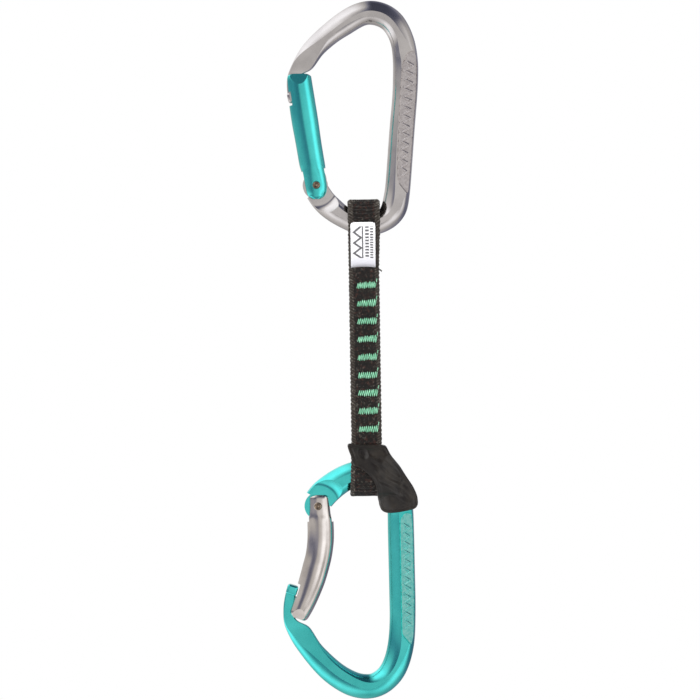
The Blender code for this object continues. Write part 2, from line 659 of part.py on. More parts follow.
def strip(name, path, edges, thickness, group, mat):
    """Open strip along a YZ path, given thickness by Solidify."""
    verts = []
    for y, z in path:
        left, right = edges(z)
        verts += [(left * MM, y * MM, z * MM), (right * MM, y * MM, z * MM)]
    faces = [(2 * i, 2 * i + 1, 2 * i + 3, 2 * i + 2) for i in range(len(path) - 1)]
    mesh = bpy.data.meshes.new(name)
    mesh.from_pydata(verts, [], faces)
    obj = add_object(name, mesh, group, mat)
    solid = obj.modifiers.new("thickness", "SOLIDIFY")
    solid.thickness = thickness * MM
    solid.offset = 0.0
    solid.use_even_offset = True
    return obj


def offset_path(path, distance):
    """Move a YZ path sideways, to the left of its direction."""
    result = []
    for i, point in enumerate(path):
        before = Vector(path[max(0, i - 1)])
        after = Vector(path[min(len(path) - 1, i + 1)])
        along = (after - before).normalized()
        result.append((point[0] - along.y * distance, point[1] + along.x * distance))
    return result


def tack_heights():
    """Centre height of each bartack, downwards."""
    return [THROAT_Z - TACK_FIRST - TACK_PITCH * i for i in range(TACKS)]


def make_tape(group, cutters, mat):
    """The sling's one strip, with a slot for each bartack."""
    tape = strip("sling_tape", tape_path(), tape_place, TAPE_THICK, group, mat)
    half = TACK_WIDTH / 2 + PIN_GAP
    centre = SLING_X + TACK_SHIFT
    rise = TACK_WEB / 2 + PIN_GAP
    deep = STACK_HALF + 1.0
    for i, z in enumerate(tack_heights()):
        slot = box_mesh(f"tape_slot_{i + 1}", (centre - half, -deep, z - rise),
                        (centre + half, deep, z + rise), Matrix.Identity(4))
        boolean(tape, "DIFFERENCE", add_cutter(f"tape_slot_{i + 1}", slot, cutters))
    return tape


def make_tacks(group, mat):
    """Bartacks: thread on both faces joined through the slots."""
    inner = STACK_HALF + PIN_GAP
    outer = inner + TACK_FLANGE
    web, wide = TACK_WEB / 2, TACK_HEIGHT / 2
    section = [(-outer, -wide), (-inner, -wide), (-inner, -web), (inner, -web), (inner, -wide),
               (outer, -wide), (outer, wide), (inner, wide), (inner, web), (-inner, web),
               (-inner, wide), (-outer, wide)]
    centre = SLING_X + TACK_SHIFT
    for i, z in enumerate(tack_heights()):
        mesh = side_mesh(f"bartack_{i + 1}", [(y, z + dz) for y, dz in section],
                         centre - TACK_WIDTH / 2, centre + TACK_WIDTH / 2)
        add_object(f"bartack_{i + 1}", mesh, group, mat)


def make_label(group, mat):
    """Sewn label over the front of the top eye, tucked in above the tape's end."""
    eye = [p for p in top_eye_path() if p[0] < 0.0 and p[1] < TOP_EYE_Z]
    path = [(eye[0][0], TOP_EYE_Z + LABEL_TOP)] + eye + [(0.0, THROAT_Z)]
    stop = Vector(path[-1]).lerp(Vector(path[-2]), LABEL_TUCK)
    path = path[:-1] + [tuple(stop)]
    lift = TAPE_THICK / 2 + GAP + LABEL_THICK / 2
    return strip("sling_label", offset_path(path, -lift), lambda z: (LABEL_LEFT, LABEL_RIGHT),
                 LABEL_THICK, group, mat)


def make_keeper(rows, group, cutters, mat):
    """Rubber sleeve over the sling's lower end and the bar's corner."""
    outline = [(x, z + LOWER_CROWN_Z) for x, z in KEEPER_OUTLINE]
    corner = rows[4:15]
    path = lower_eye_path()
    above = LOWER_CROWN_Z + KEEPER_OUTLINE[0][1] + CUT_OVER
    shells = []
    for grow in (TAPE_THICK / 2 + GAP, TAPE_THICK / 2 + GAP + KEEPER_WALL):
        ring = offset_path(path, -grow)
        shells.append([(ring[0][0], above)] + ring + [(ring[-1][0], above)])
    keeper = add_object("rubber_keeper", side_mesh("rubber_keeper", shells[1], -2 * TAPE_WIDTH,
                                                   KEEPER_STEP_X), group, mat)
    steps = (
        ("UNION", "skirt", bar_mesh("skirt", grown(corner, KEEPER_SKIRT, GAP + KEEPER_WALL))),
        ("INTERSECT", "outline", plan_mesh("outline", outline, -3 * BAR_HALF, 3 * BAR_HALF)),
        ("DIFFERENCE", "tape_way", side_mesh("tape_way", shells[0], KEEPER_LEFT,
                                             SLING_X + TAPE_WIDTH / 2 + GAP)),
        ("DIFFERENCE", "bar_way", bar_mesh("bar_way", grown(corner, GAP, GAP))),
    )
    for kind, label, mesh in steps:
        boolean(keeper, kind, add_cutter(f"keeper_{label}", mesh, cutters))
    return keeper


def main():
    """Build every piece of the quickdraw."""
    clear_scene()
    group = new_collection("climbing_quickdraw")
    cutters = new_collection("cutters")
    polished = material("polished_aluminium", (0.62, 0.61, 0.60), 0.25, 1.0)
    turquoise = material("turquoise_anodised", (0.05, 0.50, 0.48), 0.28, 1.0)
    steel = material("bright_steel", (0.55, 0.55, 0.56), 0.35, 1.0)
    webbing = material("dark_webbing", (0.035, 0.03, 0.027), 0.9, 0.0)
    thread = material("mint_thread", (0.27, 0.55, 0.40), 0.8, 0.0)
    paper = material("white_label", (0.85, 0.85, 0.84), 0.7, 0.0)
    rubber = material("dark_rubber", (0.06, 0.055, 0.05), 0.75, 0.0)

    lower_rows = shifted(LOWER_BAR, LOWER_CROWN_Z)
    lower_gate_rows = shifted(LOWER_GATE, LOWER_CROWN_Z)
    lower_pivot = (LOWER_PIVOT[0], LOWER_PIVOT[1] + LOWER_CROWN_Z)
    lower_panel = [(x, z + LOWER_CROWN_Z) for x, z in LOWER_PANEL]

    make_body("upper_body", UPPER_BAR, UPPER_PIVOT, UPPER_LEAN, 1.0, UPPER_KEY, UPPER_PANEL,
              group, cutters, polished)
    make_gate("upper_gate", UPPER_GATE, UPPER_PIVOT, UPPER_LEAN, UPPER_KEY, group, cutters, turquoise)
    make_body("lower_body", lower_rows, lower_pivot, LOWER_LEAN, -1.0, LOWER_KEY, lower_panel,
              group, cutters, turquoise)
    make_gate("lower_gate", lower_gate_rows, lower_pivot, LOWER_LEAN, LOWER_KEY, group, cutters, polished)
    for side, pivot, lean in (("upper", UPPER_PIVOT, UPPER_LEAN), ("lower", lower_pivot, LOWER_LEAN)):
        make_rivet(f"{side}_gate_rivet", pivot, group, steel)
        make_plunger(f"{side}_gate_plunger", pivot, lean, group, steel)
        make_spring(f"{side}_gate_spring", pivot, lean, group, steel)
    make_tape(group, cutters, webbing)
    make_tacks(group, thread)
    make_label(group, paper)
    make_keeper(lower_rows, group, cutters, rubber)


main()
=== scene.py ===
"""Look of the climbing quickdraw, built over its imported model."""
import logging
import math
from dataclasses import dataclass
from enum import Enum
from typing import Any, Callable, Iterable, Sequence

import bmesh
import bpy
import numpy as np
from mathutils import Matrix, Vector


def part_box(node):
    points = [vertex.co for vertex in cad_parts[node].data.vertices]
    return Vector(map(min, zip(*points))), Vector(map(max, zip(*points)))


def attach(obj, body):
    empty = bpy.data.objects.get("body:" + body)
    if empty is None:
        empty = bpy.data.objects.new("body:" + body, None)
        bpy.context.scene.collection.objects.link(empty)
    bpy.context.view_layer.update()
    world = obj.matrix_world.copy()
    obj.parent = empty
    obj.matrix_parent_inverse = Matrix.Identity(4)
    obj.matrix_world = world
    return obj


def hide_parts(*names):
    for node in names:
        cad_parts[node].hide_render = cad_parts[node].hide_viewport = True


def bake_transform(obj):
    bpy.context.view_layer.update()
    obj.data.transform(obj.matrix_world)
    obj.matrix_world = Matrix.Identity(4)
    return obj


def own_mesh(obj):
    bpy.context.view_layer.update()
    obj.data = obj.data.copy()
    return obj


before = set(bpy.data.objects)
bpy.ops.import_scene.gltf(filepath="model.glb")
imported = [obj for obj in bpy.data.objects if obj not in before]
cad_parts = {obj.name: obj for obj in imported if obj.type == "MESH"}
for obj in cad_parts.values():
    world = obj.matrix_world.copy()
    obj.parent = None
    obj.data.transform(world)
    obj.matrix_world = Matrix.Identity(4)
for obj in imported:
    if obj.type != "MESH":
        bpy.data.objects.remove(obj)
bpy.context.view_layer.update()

LOG = logging.getLogger("quickdraw")
MM = 0.001
GAP = 0.3
CROWN_THICK = 10.4
UV_ACROSS, UV_ALONG = 100.0, 1000.0
Colour = tuple[float, float, float, float]
Triple = tuple[float, float, float]
Row = tuple[float, ...]
Point = tuple[float, float]

# Rows of the bars: outer edge X Z, inner edge X Z, half depth, and where the
# flat side starts and stops as shares of the way from outer to inner edge.
# Rows of the gates: left edge X Z, right edge X Z, half depth, and how boxy the
# section is, where 2 is round. The panels and the keeper are outlines in X Z.
# Heights count from the inner crown of each carabiner's own bar.
UPPER_BAR: tuple[Row, ...] = (
    (-35.9, -30.8, -30.9, -30.0, 1.6, 0.12, 0.88),
    (-36.2, -26.0, -31.0, -25.6, 1.6, 0.12, 0.88),
    (-36.1, -23.0, -31.3, -22.6, 1.6, 0.12, 0.88),
    (-35.5, -20.9, -29.4, -20.6, 1.6, 0.08, 0.92),
    (-35.0, -19.6, -26.1, -20.3, 1.6, 0.05, 0.95),
    (-32.9, -15.0, -23.0, -16.5, 2.4, 0.05, 0.91),
    (-30.0, -10.0, -20.5, -13.0, 3.0, 0.26, 0.87),
    (-25.6, -5.0, -16.8, -9.7, 3.6, 0.43, 0.74),
    (-20.0, 0.0, -12.8, -6.7, 4.1, 0.48, 0.65),
    (-13.5, 5.0, -8.0, -3.9, 4.5, 0.46, 0.64),
    (-6.7, 8.8, -3.5, -1.2, 4.7, 0.48, 0.68),
    (0.6, 10.4, 0.0, 0.0, 4.75, 0.47, 0.70),
    (7.9, 8.8, 4.5, -1.2, 4.75, 0.46, 0.69),
    (13.5, 5.0, 7.0, -3.5, 4.75, 0.47, 0.69),
    (16.9, 0.0, 8.6, -6.5, 4.75, 0.46, 0.69),
    (19.0, -5.0, 9.5, -9.5, 4.75, 0.38, 0.70),
    (20.3, -10.0, 9.9, -13.0, 4.75, 0.24, 0.72),
    (21.1, -18.0, 10.1, -18.0, 4.75, 0.07, 0.67),
    (20.6, -30.0, 9.7, -30.0, 4.75, 0.07, 0.68),
    (19.2, -45.0, 8.2, -45.0, 4.75, 0.07, 0.68),
    (17.9, -60.0, 6.9, -60.0, 4.75, 0.07, 0.66),
    (17.0, -70.0, 6.0, -70.0, 4.75, 0.09, 0.62),
    (16.3, -76.0, 5.1, -75.0, 4.75, 0.18, 0.58),
    (14.8, -82.5, 4.0, -79.5, 4.75, 0.34, 0.60),
    (10.5, -87.8, 2.2, -81.5, 4.75, 0.42, 0.62),
    (4.0, -91.0, -0.5, -82.4, 4.75, 0.40, 0.70),
    (-2.0, -92.0, -3.5, -82.3, 4.75, 0.40, 0.70),
    (-8.5, -90.6, -6.8, -81.4, 4.75, 0.40, 0.70),
    (-15.0, -87.5, -10.5, -79.2, 4.75, 0.40, 0.72),
    (-20.5, -84.0, -14.0, -76.0, 4.75, 0.38, 0.74),
    (-25.0, -79.8, -17.0, -73.0, 4.75, 0.34, 0.76),
    (-28.0, -75.2, -19.3, -69.3, 4.75, 0.30, 0.78),
)
LOWER_BAR: tuple[Row, ...] = (
    (-30.3, -3.5, -19.6, -9.8, 4.75, 0.30, 0.78),
    (-27.5, 0.0, -17.5, -7.5, 4.75, 0.34, 0.76),
    (-25.0, 2.1, -15.0, -5.3, 4.75, 0.36, 0.75),
    (-20.0, 5.5, -12.5, -3.5, 4.75, 0.38, 0.74),
    (-15.0, 8.0, -9.5, -1.7, 4.75, 0.40, 0.72),
    (-10.5, 9.5, -6.5, -0.5, 4.75, 0.40, 0.70),
    (-4.0, 10.4, -3.2, 0.0, 4.75, 0.40, 0.70),
    (2.5, 9.5, -0.3, -0.7, 4.75, 0.40, 0.70),
    (8.0, 6.2, 2.0, -2.5, 4.75, 0.38, 0.70),
    (12.0, 1.5, 3.6, -5.0, 4.75, 0.34, 0.70),
    (14.7, -4.0, 4.4, -8.0, 4.75, 0.24, 0.71),
    (15.8, -9.5, 4.7, -11.5, 4.75, 0.10, 0.58),
    (16.1, -20.5, 4.7, -20.5, 4.75, 0.06, 0.55),
    (16.2, -35.5, 4.8, -35.5, 4.75, 0.06, 0.55),
    (16.3, -50.5, 4.9, -50.5, 4.75, 0.06, 0.55),
    (16.1, -60.5, 4.9, -58.5, 4.75, 0.08, 0.55),
    (15.8, -66.5, 4.5, -65.5, 4.75, 0.12, 0.52),
    (15.0, -72.5, 3.6, -71.5, 4.75, 0.24, 0.50),
    (13.0, -79.5, 2.2, -76.3, 4.75, 0.34, 0.52),
    (10.0, -85.3, 0.0, -80.3, 4.75, 0.42, 0.56),
    (5.0, -90.3, -3.0, -82.5, 4.75, 0.46, 0.62),
    (0.0, -92.9, -4.5, -82.9, 4.75, 0.42, 0.68),
    (-5.0, -93.7, -6.0, -82.9, 4.7, 0.43, 0.72),
    (-10.0, -93.2, -8.5, -82.5, 4.55, 0.48, 0.78),
    (-15.0, -91.5, -11.5, -81.2, 4.3, 0.52, 0.82),
    (-20.0, -88.5, -14.5, -79.5, 4.0, 0.51, 0.83),
    (-25.0, -84.5, -18.0, -76.8, 3.6, 0.51, 0.84),
    (-30.0, -79.0, -22.0, -73.0, 3.1, 0.48, 0.86),
    (-35.0, -72.3, -25.5, -69.2, 2.6, 0.35, 0.91),
    (-37.5, -68.5, -27.5, -65.8, 2.2, 0.24, 0.92),
    (-39.5, -64.5, -29.5, -62.6, 1.8, 0.14, 0.94),
    (-40.8, -61.3, -31.2, -60.8, 1.6, 0.06, 0.94),
    (-41.3, -58.6, -35.6, -59.6, 1.6, 0.08, 0.92),
    (-41.3, -56.5, -36.6, -57.5, 1.6, 0.12, 0.88),
    (-41.2, -52.5, -36.5, -53.3, 1.6, 0.12, 0.88),
    (-40.3, -47.6, -35.9, -48.4, 1.6, 0.12, 0.88),
    (-39.7, -45.6, -35.4, -46.4, 1.6, 0.12, 0.88),
)
UPPER_GATE: tuple[Row, ...] = (
    (-34.9, -21.2, -26.9, -21.2, 3.2, 2.0),
    (-35.8, -21.6, -26.0, -21.6, 4.1, 2.0),
    (-36.2, -22.2, -25.5, -22.2, 4.5, 2.0),
    (-36.3, -25.0, -25.1, -25.0, 4.6, 2.0),
    (-34.6, -40.0, -22.9, -40.0, 4.6, 2.0),
    (-32.8, -51.0, -21.5, -51.0, 4.6, 2.0),
    (-31.3, -60.4, -20.1, -60.4, 4.6, 2.0),
    (-30.7, -62.6, -19.9, -62.6, 4.56, 2.15),
    (-30.1, -65.0, -19.6, -65.0, 4.5, 2.4),
    (-29.2, -70.0, -19.0, -70.0, 4.4, 2.6),
    (-28.6, -72.8, -19.3, -72.8, 4.35, 2.7),
    (-28.0, -74.1, -20.0, -74.1, 4.25, 2.8),
    (-27.2, -75.0, -20.9, -75.0, 4.2, 3.6),
    (-25.9, -75.7, -22.2, -75.7, 3.9, 3.2),
)
LOWER_GATE: tuple[Row, ...] = (
    (-27.7, -4.6, -21.9, -4.6, 3.6, 3.2),
    (-28.7, -5.0, -20.9, -5.0, 4.1, 3.6),
    (-29.3, -6.0, -20.3, -6.0, 4.35, 2.8),
    (-29.6, -12.6, -19.7, -12.6, 4.4, 2.6),
    (-30.0, -14.1, -19.3, -14.1, 4.52, 2.3),
    (-30.2, -15.4, -18.9, -15.4, 4.6, 2.1),
    (-30.2, -20.5, -18.7, -20.5, 4.6, 2.0),
    (-30.4, -25.0, -18.9, -25.6, 4.6, 2.0),
    (-31.1, -30.0, -19.8, -31.6, 4.6, 2.0),
    (-32.2, -34.0, -21.1, -36.8, 4.6, 2.0),
    (-33.6, -39.0, -22.9, -42.6, 4.6, 2.0),
    (-35.2, -44.6, -25.2, -48.2, 4.6, 2.0),
    (-37.0, -50.0, -27.9, -53.8, 4.6, 2.0),
    (-38.5, -54.3, -30.1, -57.6, 4.5, 2.0),
    (-38.6, -55.8, -31.0, -58.8, 4.1, 2.0),
    (-38.2, -56.9, -31.9, -59.2, 3.2, 2.0),
)
UPPER_PANEL: tuple[Point, ...] = (
    (16.4, -13.4), (20.0, -12.3), (20.2, -18.0), (19.7, -30.0), (18.3, -45.0),
    (17.0, -60.0), (16.1, -70.0), (15.7, -74.0), (11.8, -69.0), (11.6, -60.0),
    (12.5, -45.0), (13.3, -30.0), (14.5, -18.0),
)
LOWER_PANEL: tuple[Point, ...] = (
    (12.2, -12.9), (14.9, -13.2), (15.3, -20.5), (15.4, -35.5), (15.4, -50.5),
    (15.2, -60.5), (14.8, -70.6), (10.3, -65.4), (10.3, -50.5), (10.2, -35.5),
    (10.2, -20.5), (10.3, -15.3),
)
KEEPER_OUTLINE: tuple[Point, ...] = (
    (-12.5, 17.4), (4.4, 16.5), (6.7, 11.8), (10.6, 7.0), (13.2, 2.7),
    (16.1, -1.7), (17.7, -5.4), (18.0, -9.1), (16.7, -11.0), (13.7, -11.7),
    (8.6, -12.6), (4.3, -12.8), (2.0, -11.8), (0.9, -8.8), (0.3, -4.4),
    (0.3, -2.1), (-1.1, 1.6), (-3.8, 4.9), (-6.4, 6.9), (-9.7, 8.4),
    (-10.9, 12.4), (-11.9, 15.0),
)


class Body(str, Enum):
    """The moving bodies that pieces ride on."""

    UPPER = "upper_carabiner"
    UPPER_GATE = "upper_gate"
    UPPER_PLUNGER = "upper_plunger"
    SLING = "sling"
    LOWER = "lower_carabiner"
    LOWER_GATE = "lower_gate"
    LOWER_PLUNGER = "lower_plunger"


class Cut(str, Enum):
    """What a Boolean does with its second shape."""

    JOIN = "UNION"
    TAKE = "DIFFERENCE"
    KEEP = "INTERSECT"


# ---------------------------------------------------------------- shader maths


def of_one(operation: str) -> Callable[["Sock"], "Sock"]:
    """Method of Sock that puts the value through one Math node.

    Args:
        operation: the node's operation.

    Returns:
        The method.
    """
    def method(self: "Sock") -> "Sock":
        """Change the value."""
        return self.math(operation, self)
    return method


def of_two(operation: str, swap: bool = False) -> Callable[["Sock", Any], "Sock"]:
    """Method of Sock that joins the value and another in one Math node.

    Args:
        operation: the node's operation.
        swap: whether the other value comes first.

    Returns:
        The method.
    """
    def method(self: "Sock", other: Any) -> "Sock":
        """Join two values."""
        return self.math(operation, *((other, self) if swap else (self, other)))
    return method


class Sock:
    """A shader value whose arithmetic adds Math nodes."""

    __add__ = __radd__ = of_two("ADD")
    __sub__, __rsub__ = of_two("SUBTRACT"), of_two("SUBTRACT", swap=True)
    __mul__ = __rmul__ = of_two("MULTIPLY")
    __truediv__ = of_two("DIVIDE")
    __pow__ = of_two("POWER")
    __abs__ = of_one("ABSOLUTE")
    over, under = of_two("MAXIMUM"), of_two("MINIMUM")
    sin, arccos = of_one("SINE"), of_one("ARCCOSINE")

    def __init__(self, book: "NodeBook", socket: bpy.types.NodeSocket) -> None:
        """Wrap an output socket."""
        self.book = book
        self.socket = socket

    def math(self, operation: str, *values: Any) -> "Sock":
        """Add one Math node and return its value."""
        node = self.book.add("ShaderNodeMath", {"operation": operation}, dict(enumerate(values)))
        return self.book.out(node)

    def wrap(self, period: float) -> "Sock":
        """Value folded into 0 to the period."""
        return self.math("WRAP", self, period, 0.0)

    def ramp(self, low: float, high: float, start: float = 0.0, stop: float = 1.0) -> "Sock":
        """Smooth step between two values.

        Args:
            low: value at which the step starts.
            high: value at which it ends.
            start: result at low.
            stop: result at high.

        Returns:
            The stepped value.
        """
        node = self.book.add("ShaderNodeMapRange", {"interpolation_type": "SMOOTHSTEP"},
                             {"Value": self, "From Min": low, "From Max": high,
                              "To Min": start, "To Max": stop})
        return self.book.out(node)


class NodeBook:
    """Builds the node tree of one material or world."""

    def __init__(self, owner: bpy.types.Material | bpy.types.World,
                 end: str = "ShaderNodeOutputMaterial") -> None:
        """Empty the owner's tree and give it an output.

        Args:
            owner: the material or world.
            end: type of the output node.
        """
        self.owner = owner
        owner.use_nodes = True
        self.tree = owner.node_tree
        self.tree.nodes.clear()
        self.end = self.tree.nodes.new(end)

    def add(self, kind: str, settings: dict[str, Any] | None = None,
            inputs: dict[Any, Any] | None = None) -> bpy.types.Node:
        """Add a node.

        Args:
            kind: node type.
            settings: the node's own properties, set first.
            inputs: values or links by socket name or number.

        Returns:
            The new node.
        """
        node = self.tree.nodes.new(kind)
        for key, value in (settings or {}).items():
            if key == "stops":
                self._stops(node, value)
            else:
                setattr(node, key, value)
        for key, value in (inputs or {}).items():
            if isinstance(value, Sock):
                self.tree.links.new(value.socket, node.inputs[key])
            else:
                node.inputs[key].default_value = value
        return node

    def _stops(self, node: bpy.types.Node, stops: Sequence[tuple[float, Triple]]) -> None:
        """Set a colour ramp's stops.

        Args:
            node: the ramp's node.
            stops: place and colour of each stop.
        """
        ramp = node.color_ramp
        while len(ramp.elements) > 1:
            ramp.elements.remove(ramp.elements[-1])
        ramp.elements[0].position = stops[0][0]
        ramp.elements[0].color = (*stops[0][1], 1.0)
        for place, colour in stops[1:]:
            ramp.elements.new(place).color = (*colour, 1.0)

    def out(self, node: bpy.types.Node, name: Any = 0) -> Sock:
        """An output of a node as a value."""
        return Sock(self, node.outputs[name])

    def place(self) -> Sock:
        """Position on the piece in millimetres.

        Returns:
            The position.
        """
        source = self.add("ShaderNodeTexCoord")
        node = self.add("ShaderNodeVectorMath", {"operation": "SCALE"},
                        {0: self.out(source, "Object"), "Scale": 1.0 / MM})
        return self.out(node)

    def weave_place(self) -> tuple[Sock, Sock]:
        """Millimetres across and along a strip, from its UV map."""
        node = self.add("ShaderNodeSeparateXYZ", None,
                        {0: self.out(self.add("ShaderNodeUVMap", {"uv_map": "strip"}))})
        return self.out(node, 0) * UV_ACROSS, self.out(node, 1) * UV_ALONG

    def axes(self, vector: Sock) -> tuple[Sock, Sock, Sock]:
        """The three parts of a vector."""
        node = self.add("ShaderNodeSeparateXYZ", None, {0: vector})
        return self.out(node, 0), self.out(node, 1), self.out(node, 2)

    def stretch(self, vector: Sock, scale: Triple) -> Sock:
        """A vector multiplied part by part."""
        return self.out(self.add("ShaderNodeVectorMath", {"operation": "MULTIPLY"},
                                 {0: vector, 1: scale}))

    def noise(self, vector: Sock, scale: float, detail: float = 3.0, rough: float = 0.55) -> Sock:
        """Noise value at a scale per millimetre."""
        node = self.add("ShaderNodeTexNoise", None,
                        {"Vector": vector, "Scale": scale, "Detail": detail, "Roughness": rough})
        return self.out(node, 0)

    def mix(self, mask: Any, first: Any, second: Any) -> Sock:
        """Blend two colours by a mask."""
        node = self.add("ShaderNodeMix", {"data_type": "RGBA", "clamp_factor": True},
                        {"Factor": mask, 6: first, 7: second})
        return self.out(node, 2)

    def bump(self, height: Sock, distance: float, strength: float = 1.0) -> Sock:
        """Normal bent by a height in millimetres."""
        node = self.add("ShaderNodeBump", None,
                        {"Height": height, "Distance": distance * MM, "Strength": strength})
        return self.out(node)

    def finish(self, inputs: dict[str, Any]) -> bpy.types.Material:
        """Close the tree with a Principled shader."""
        shader = self.add("ShaderNodeBsdfPrincipled", None, inputs)
        self.tree.links.new(shader.outputs[0], self.end.inputs[0])
        return self.owner


def new_book(name: str) -> NodeBook:
    """Start a material."""
    return NodeBook(bpy.data.materials.new(name))


def rgb(red: int, green: int, blue: int) -> Colour:
    """Linear colour from 0-255 display values.

    Args:
        red: red, 0 to 255.
        green: green, 0 to 255.
        blue: blue, 0 to 255.

    Returns:
        Red, green and blue in linear light, and 1.
    """
    def one(value: int) -> float:
        """One channel."""
        share = value / 255
        return share / 12.92 if share <= 0.04045 else ((share + 0.055) / 1.055) ** 2.4
    return one(red), one(green), one(blue), 1.0


# -------------------------------------------------------------------- finishes


@dataclass(frozen=True)
class Metal:
    """Tumbled and polished metal, bare or anodised."""

    name: str
    colour: Colour
    deep: Colour
    roughness: float = 0.15
    grain: float = 0.0025
    streak: Triple = (1.0, 1.0, 0.12)
    coat: float = 0.0
    coat_rough: float = 0.12

    def make(self) -> bpy.types.Material:
        """Build the material.

        Returns:
            The material.
        """
        book = new_book(self.name)
        place = book.place()
        cloud = book.noise(place, 0.11, 3.0)
        drawn = book.noise(book.stretch(place, self.streak), 1.3, 3.0, 0.6)
        fine = book.noise(place, 1.5, 3.0, 0.6)
        rubs = book.noise(book.stretch(place, (0.5, 0.5, 0.5)), 0.35, 4.0, 0.6).ramp(0.55, 0.75)
        colour = book.mix(cloud.ramp(0.3, 0.75), self.colour, self.deep)
        rough = self.roughness + (drawn - 0.5) * 0.06 + (cloud - 0.5) * 0.06 + rubs * 0.06
        height = fine * 0.4 + drawn * 0.6
        return book.finish({"Base Color": colour, "Metallic": 1.0, "Roughness": rough,
                            "Normal": book.bump(height, self.grain),
                            "Coat Weight": self.coat, "Coat Roughness": self.coat_rough})


@dataclass(frozen=True)
class StruckMetal(Metal):
    """Metal with the dull grain of a struck, unpolished face."""

    grit: float = 0.9

    def make(self) -> bpy.types.Material:
        """Build the material.

        Returns:
            The material.
        """
        book = new_book(self.name)
        place = book.place()
        cloud = book.noise(place, 0.3, 3.0)
        pits = book.noise(place, self.grit, 4.0, 0.65)
        colour = book.mix(pits.ramp(0.3, 0.7), self.deep, self.colour)
        rough = self.roughness + (cloud - 0.5) * 0.12
        return book.finish({"Base Color": colour, "Metallic": 1.0, "Roughness": rough,
                            "Normal": book.bump(pits, self.grain)})


@dataclass(frozen=True)
class Webbing:
    """Woven tape: dark warp with flecks, painted shade in the weave's gaps, and lighter corded
    edges.
    """

    name: str
    body: Colour
    fleck: Colour
    edge: Colour
    shade: Colour
    half_width: float = 6.65
    edge_width: float = 2.0
    warp_pitch: float = 0.52
    weft_pitch: float = 0.62
    cord_pitch: float = 1.25
    rim_soft: float = 0.25

    def make(self) -> bpy.types.Material:
        """Build the material.

        Returns:
            The material.
        """
        book = new_book(self.name)
        across, along = book.weave_place()
        grain = book.noise(book.place(), 1.3, 4.0, 0.65)
        ends = (across * (math.tau / self.warp_pitch)).sin()
        picks = (along * (math.tau / self.weft_pitch)
                 + (across / self.warp_pitch * math.pi)).sin()
        weave = (ends * 0.5 + 0.5) * (picks * 0.35 + 0.65)
        inner = self.half_width - self.edge_width
        rim = abs(across).ramp(inner - self.rim_soft, inner + self.rim_soft)
        cord = ((along * (math.tau / self.cord_pitch) + abs(across) * 3.2).sin() * 0.5 + 0.5)
        fleck = book.noise(book.place(), 0.62, 2.0).ramp(0.5, 0.62) * weave.ramp(0.2, 0.6)
        # Painted shade: the weave's gaps are darkened towards the near-black shade colour.
        middle = book.mix(weave.ramp(0.1, 0.75), self.shade, self.body)
        middle = book.mix(fleck, middle, self.fleck)
        mottle = book.noise(book.place(), 0.85, 3.0, 0.6)
        speck = book.noise(book.place(), 1.1, 3.0, 0.7).ramp(0.56, 0.7)
        side = book.mix((cord * 0.3 + mottle * 0.5 + speck * 0.6).ramp(0.35, 1.0), self.body,
                        self.edge)
        # Darker random mottle, in the same near-black colour.
        middle = book.mix(mottle.ramp(0.42, 0.6) * 0.8, middle, self.shade)
        middle = book.mix(speck * 0.5, middle, self.edge)
        colour = book.mix(rim, middle, side)
        height = weave * (1 - rim) + cord * rim * 1.2 + grain * 0.35
        return book.finish({"Base Color": colour, "Roughness": 0.78 + (grain - 0.5) * 0.2,
                            "Normal": book.bump(height, 0.16), "Sheen Weight": 0.1,
                            "Sheen Roughness": 0.45})


@dataclass(frozen=True)
class Thread:
    """Twisted sewing thread, with painted highlight on the twist's ridges and painted shade in its
    grooves.
    """

    name: str
    light: Colour
    dark: Colour

    def make(self) -> bpy.types.Material:
        """Build the material.

        Returns:
            The material.
        """
        book = new_book(self.name)
        place = book.place()
        cloud = book.noise(place, 0.8, 3.0)
        x, _, z = book.axes(place)
        twist = ((x * 9.0 + z * 13.0 + cloud * 3.0).sin() * 0.5 + 0.5)
        # Painted highlight and shade: the twist's ridges take the light colour, its grooves the
        # dark one; the cloud adds random tone.
        colour = book.mix(twist * 0.45 + cloud.ramp(0.35, 0.7) * 0.45, self.dark, self.light)
        return book.finish({"Base Color": colour, "Roughness": 0.6 + (cloud - 0.5) * 0.2,
                            "Normal": book.bump(twist, 0.05), "Sheen Weight": 0.2})


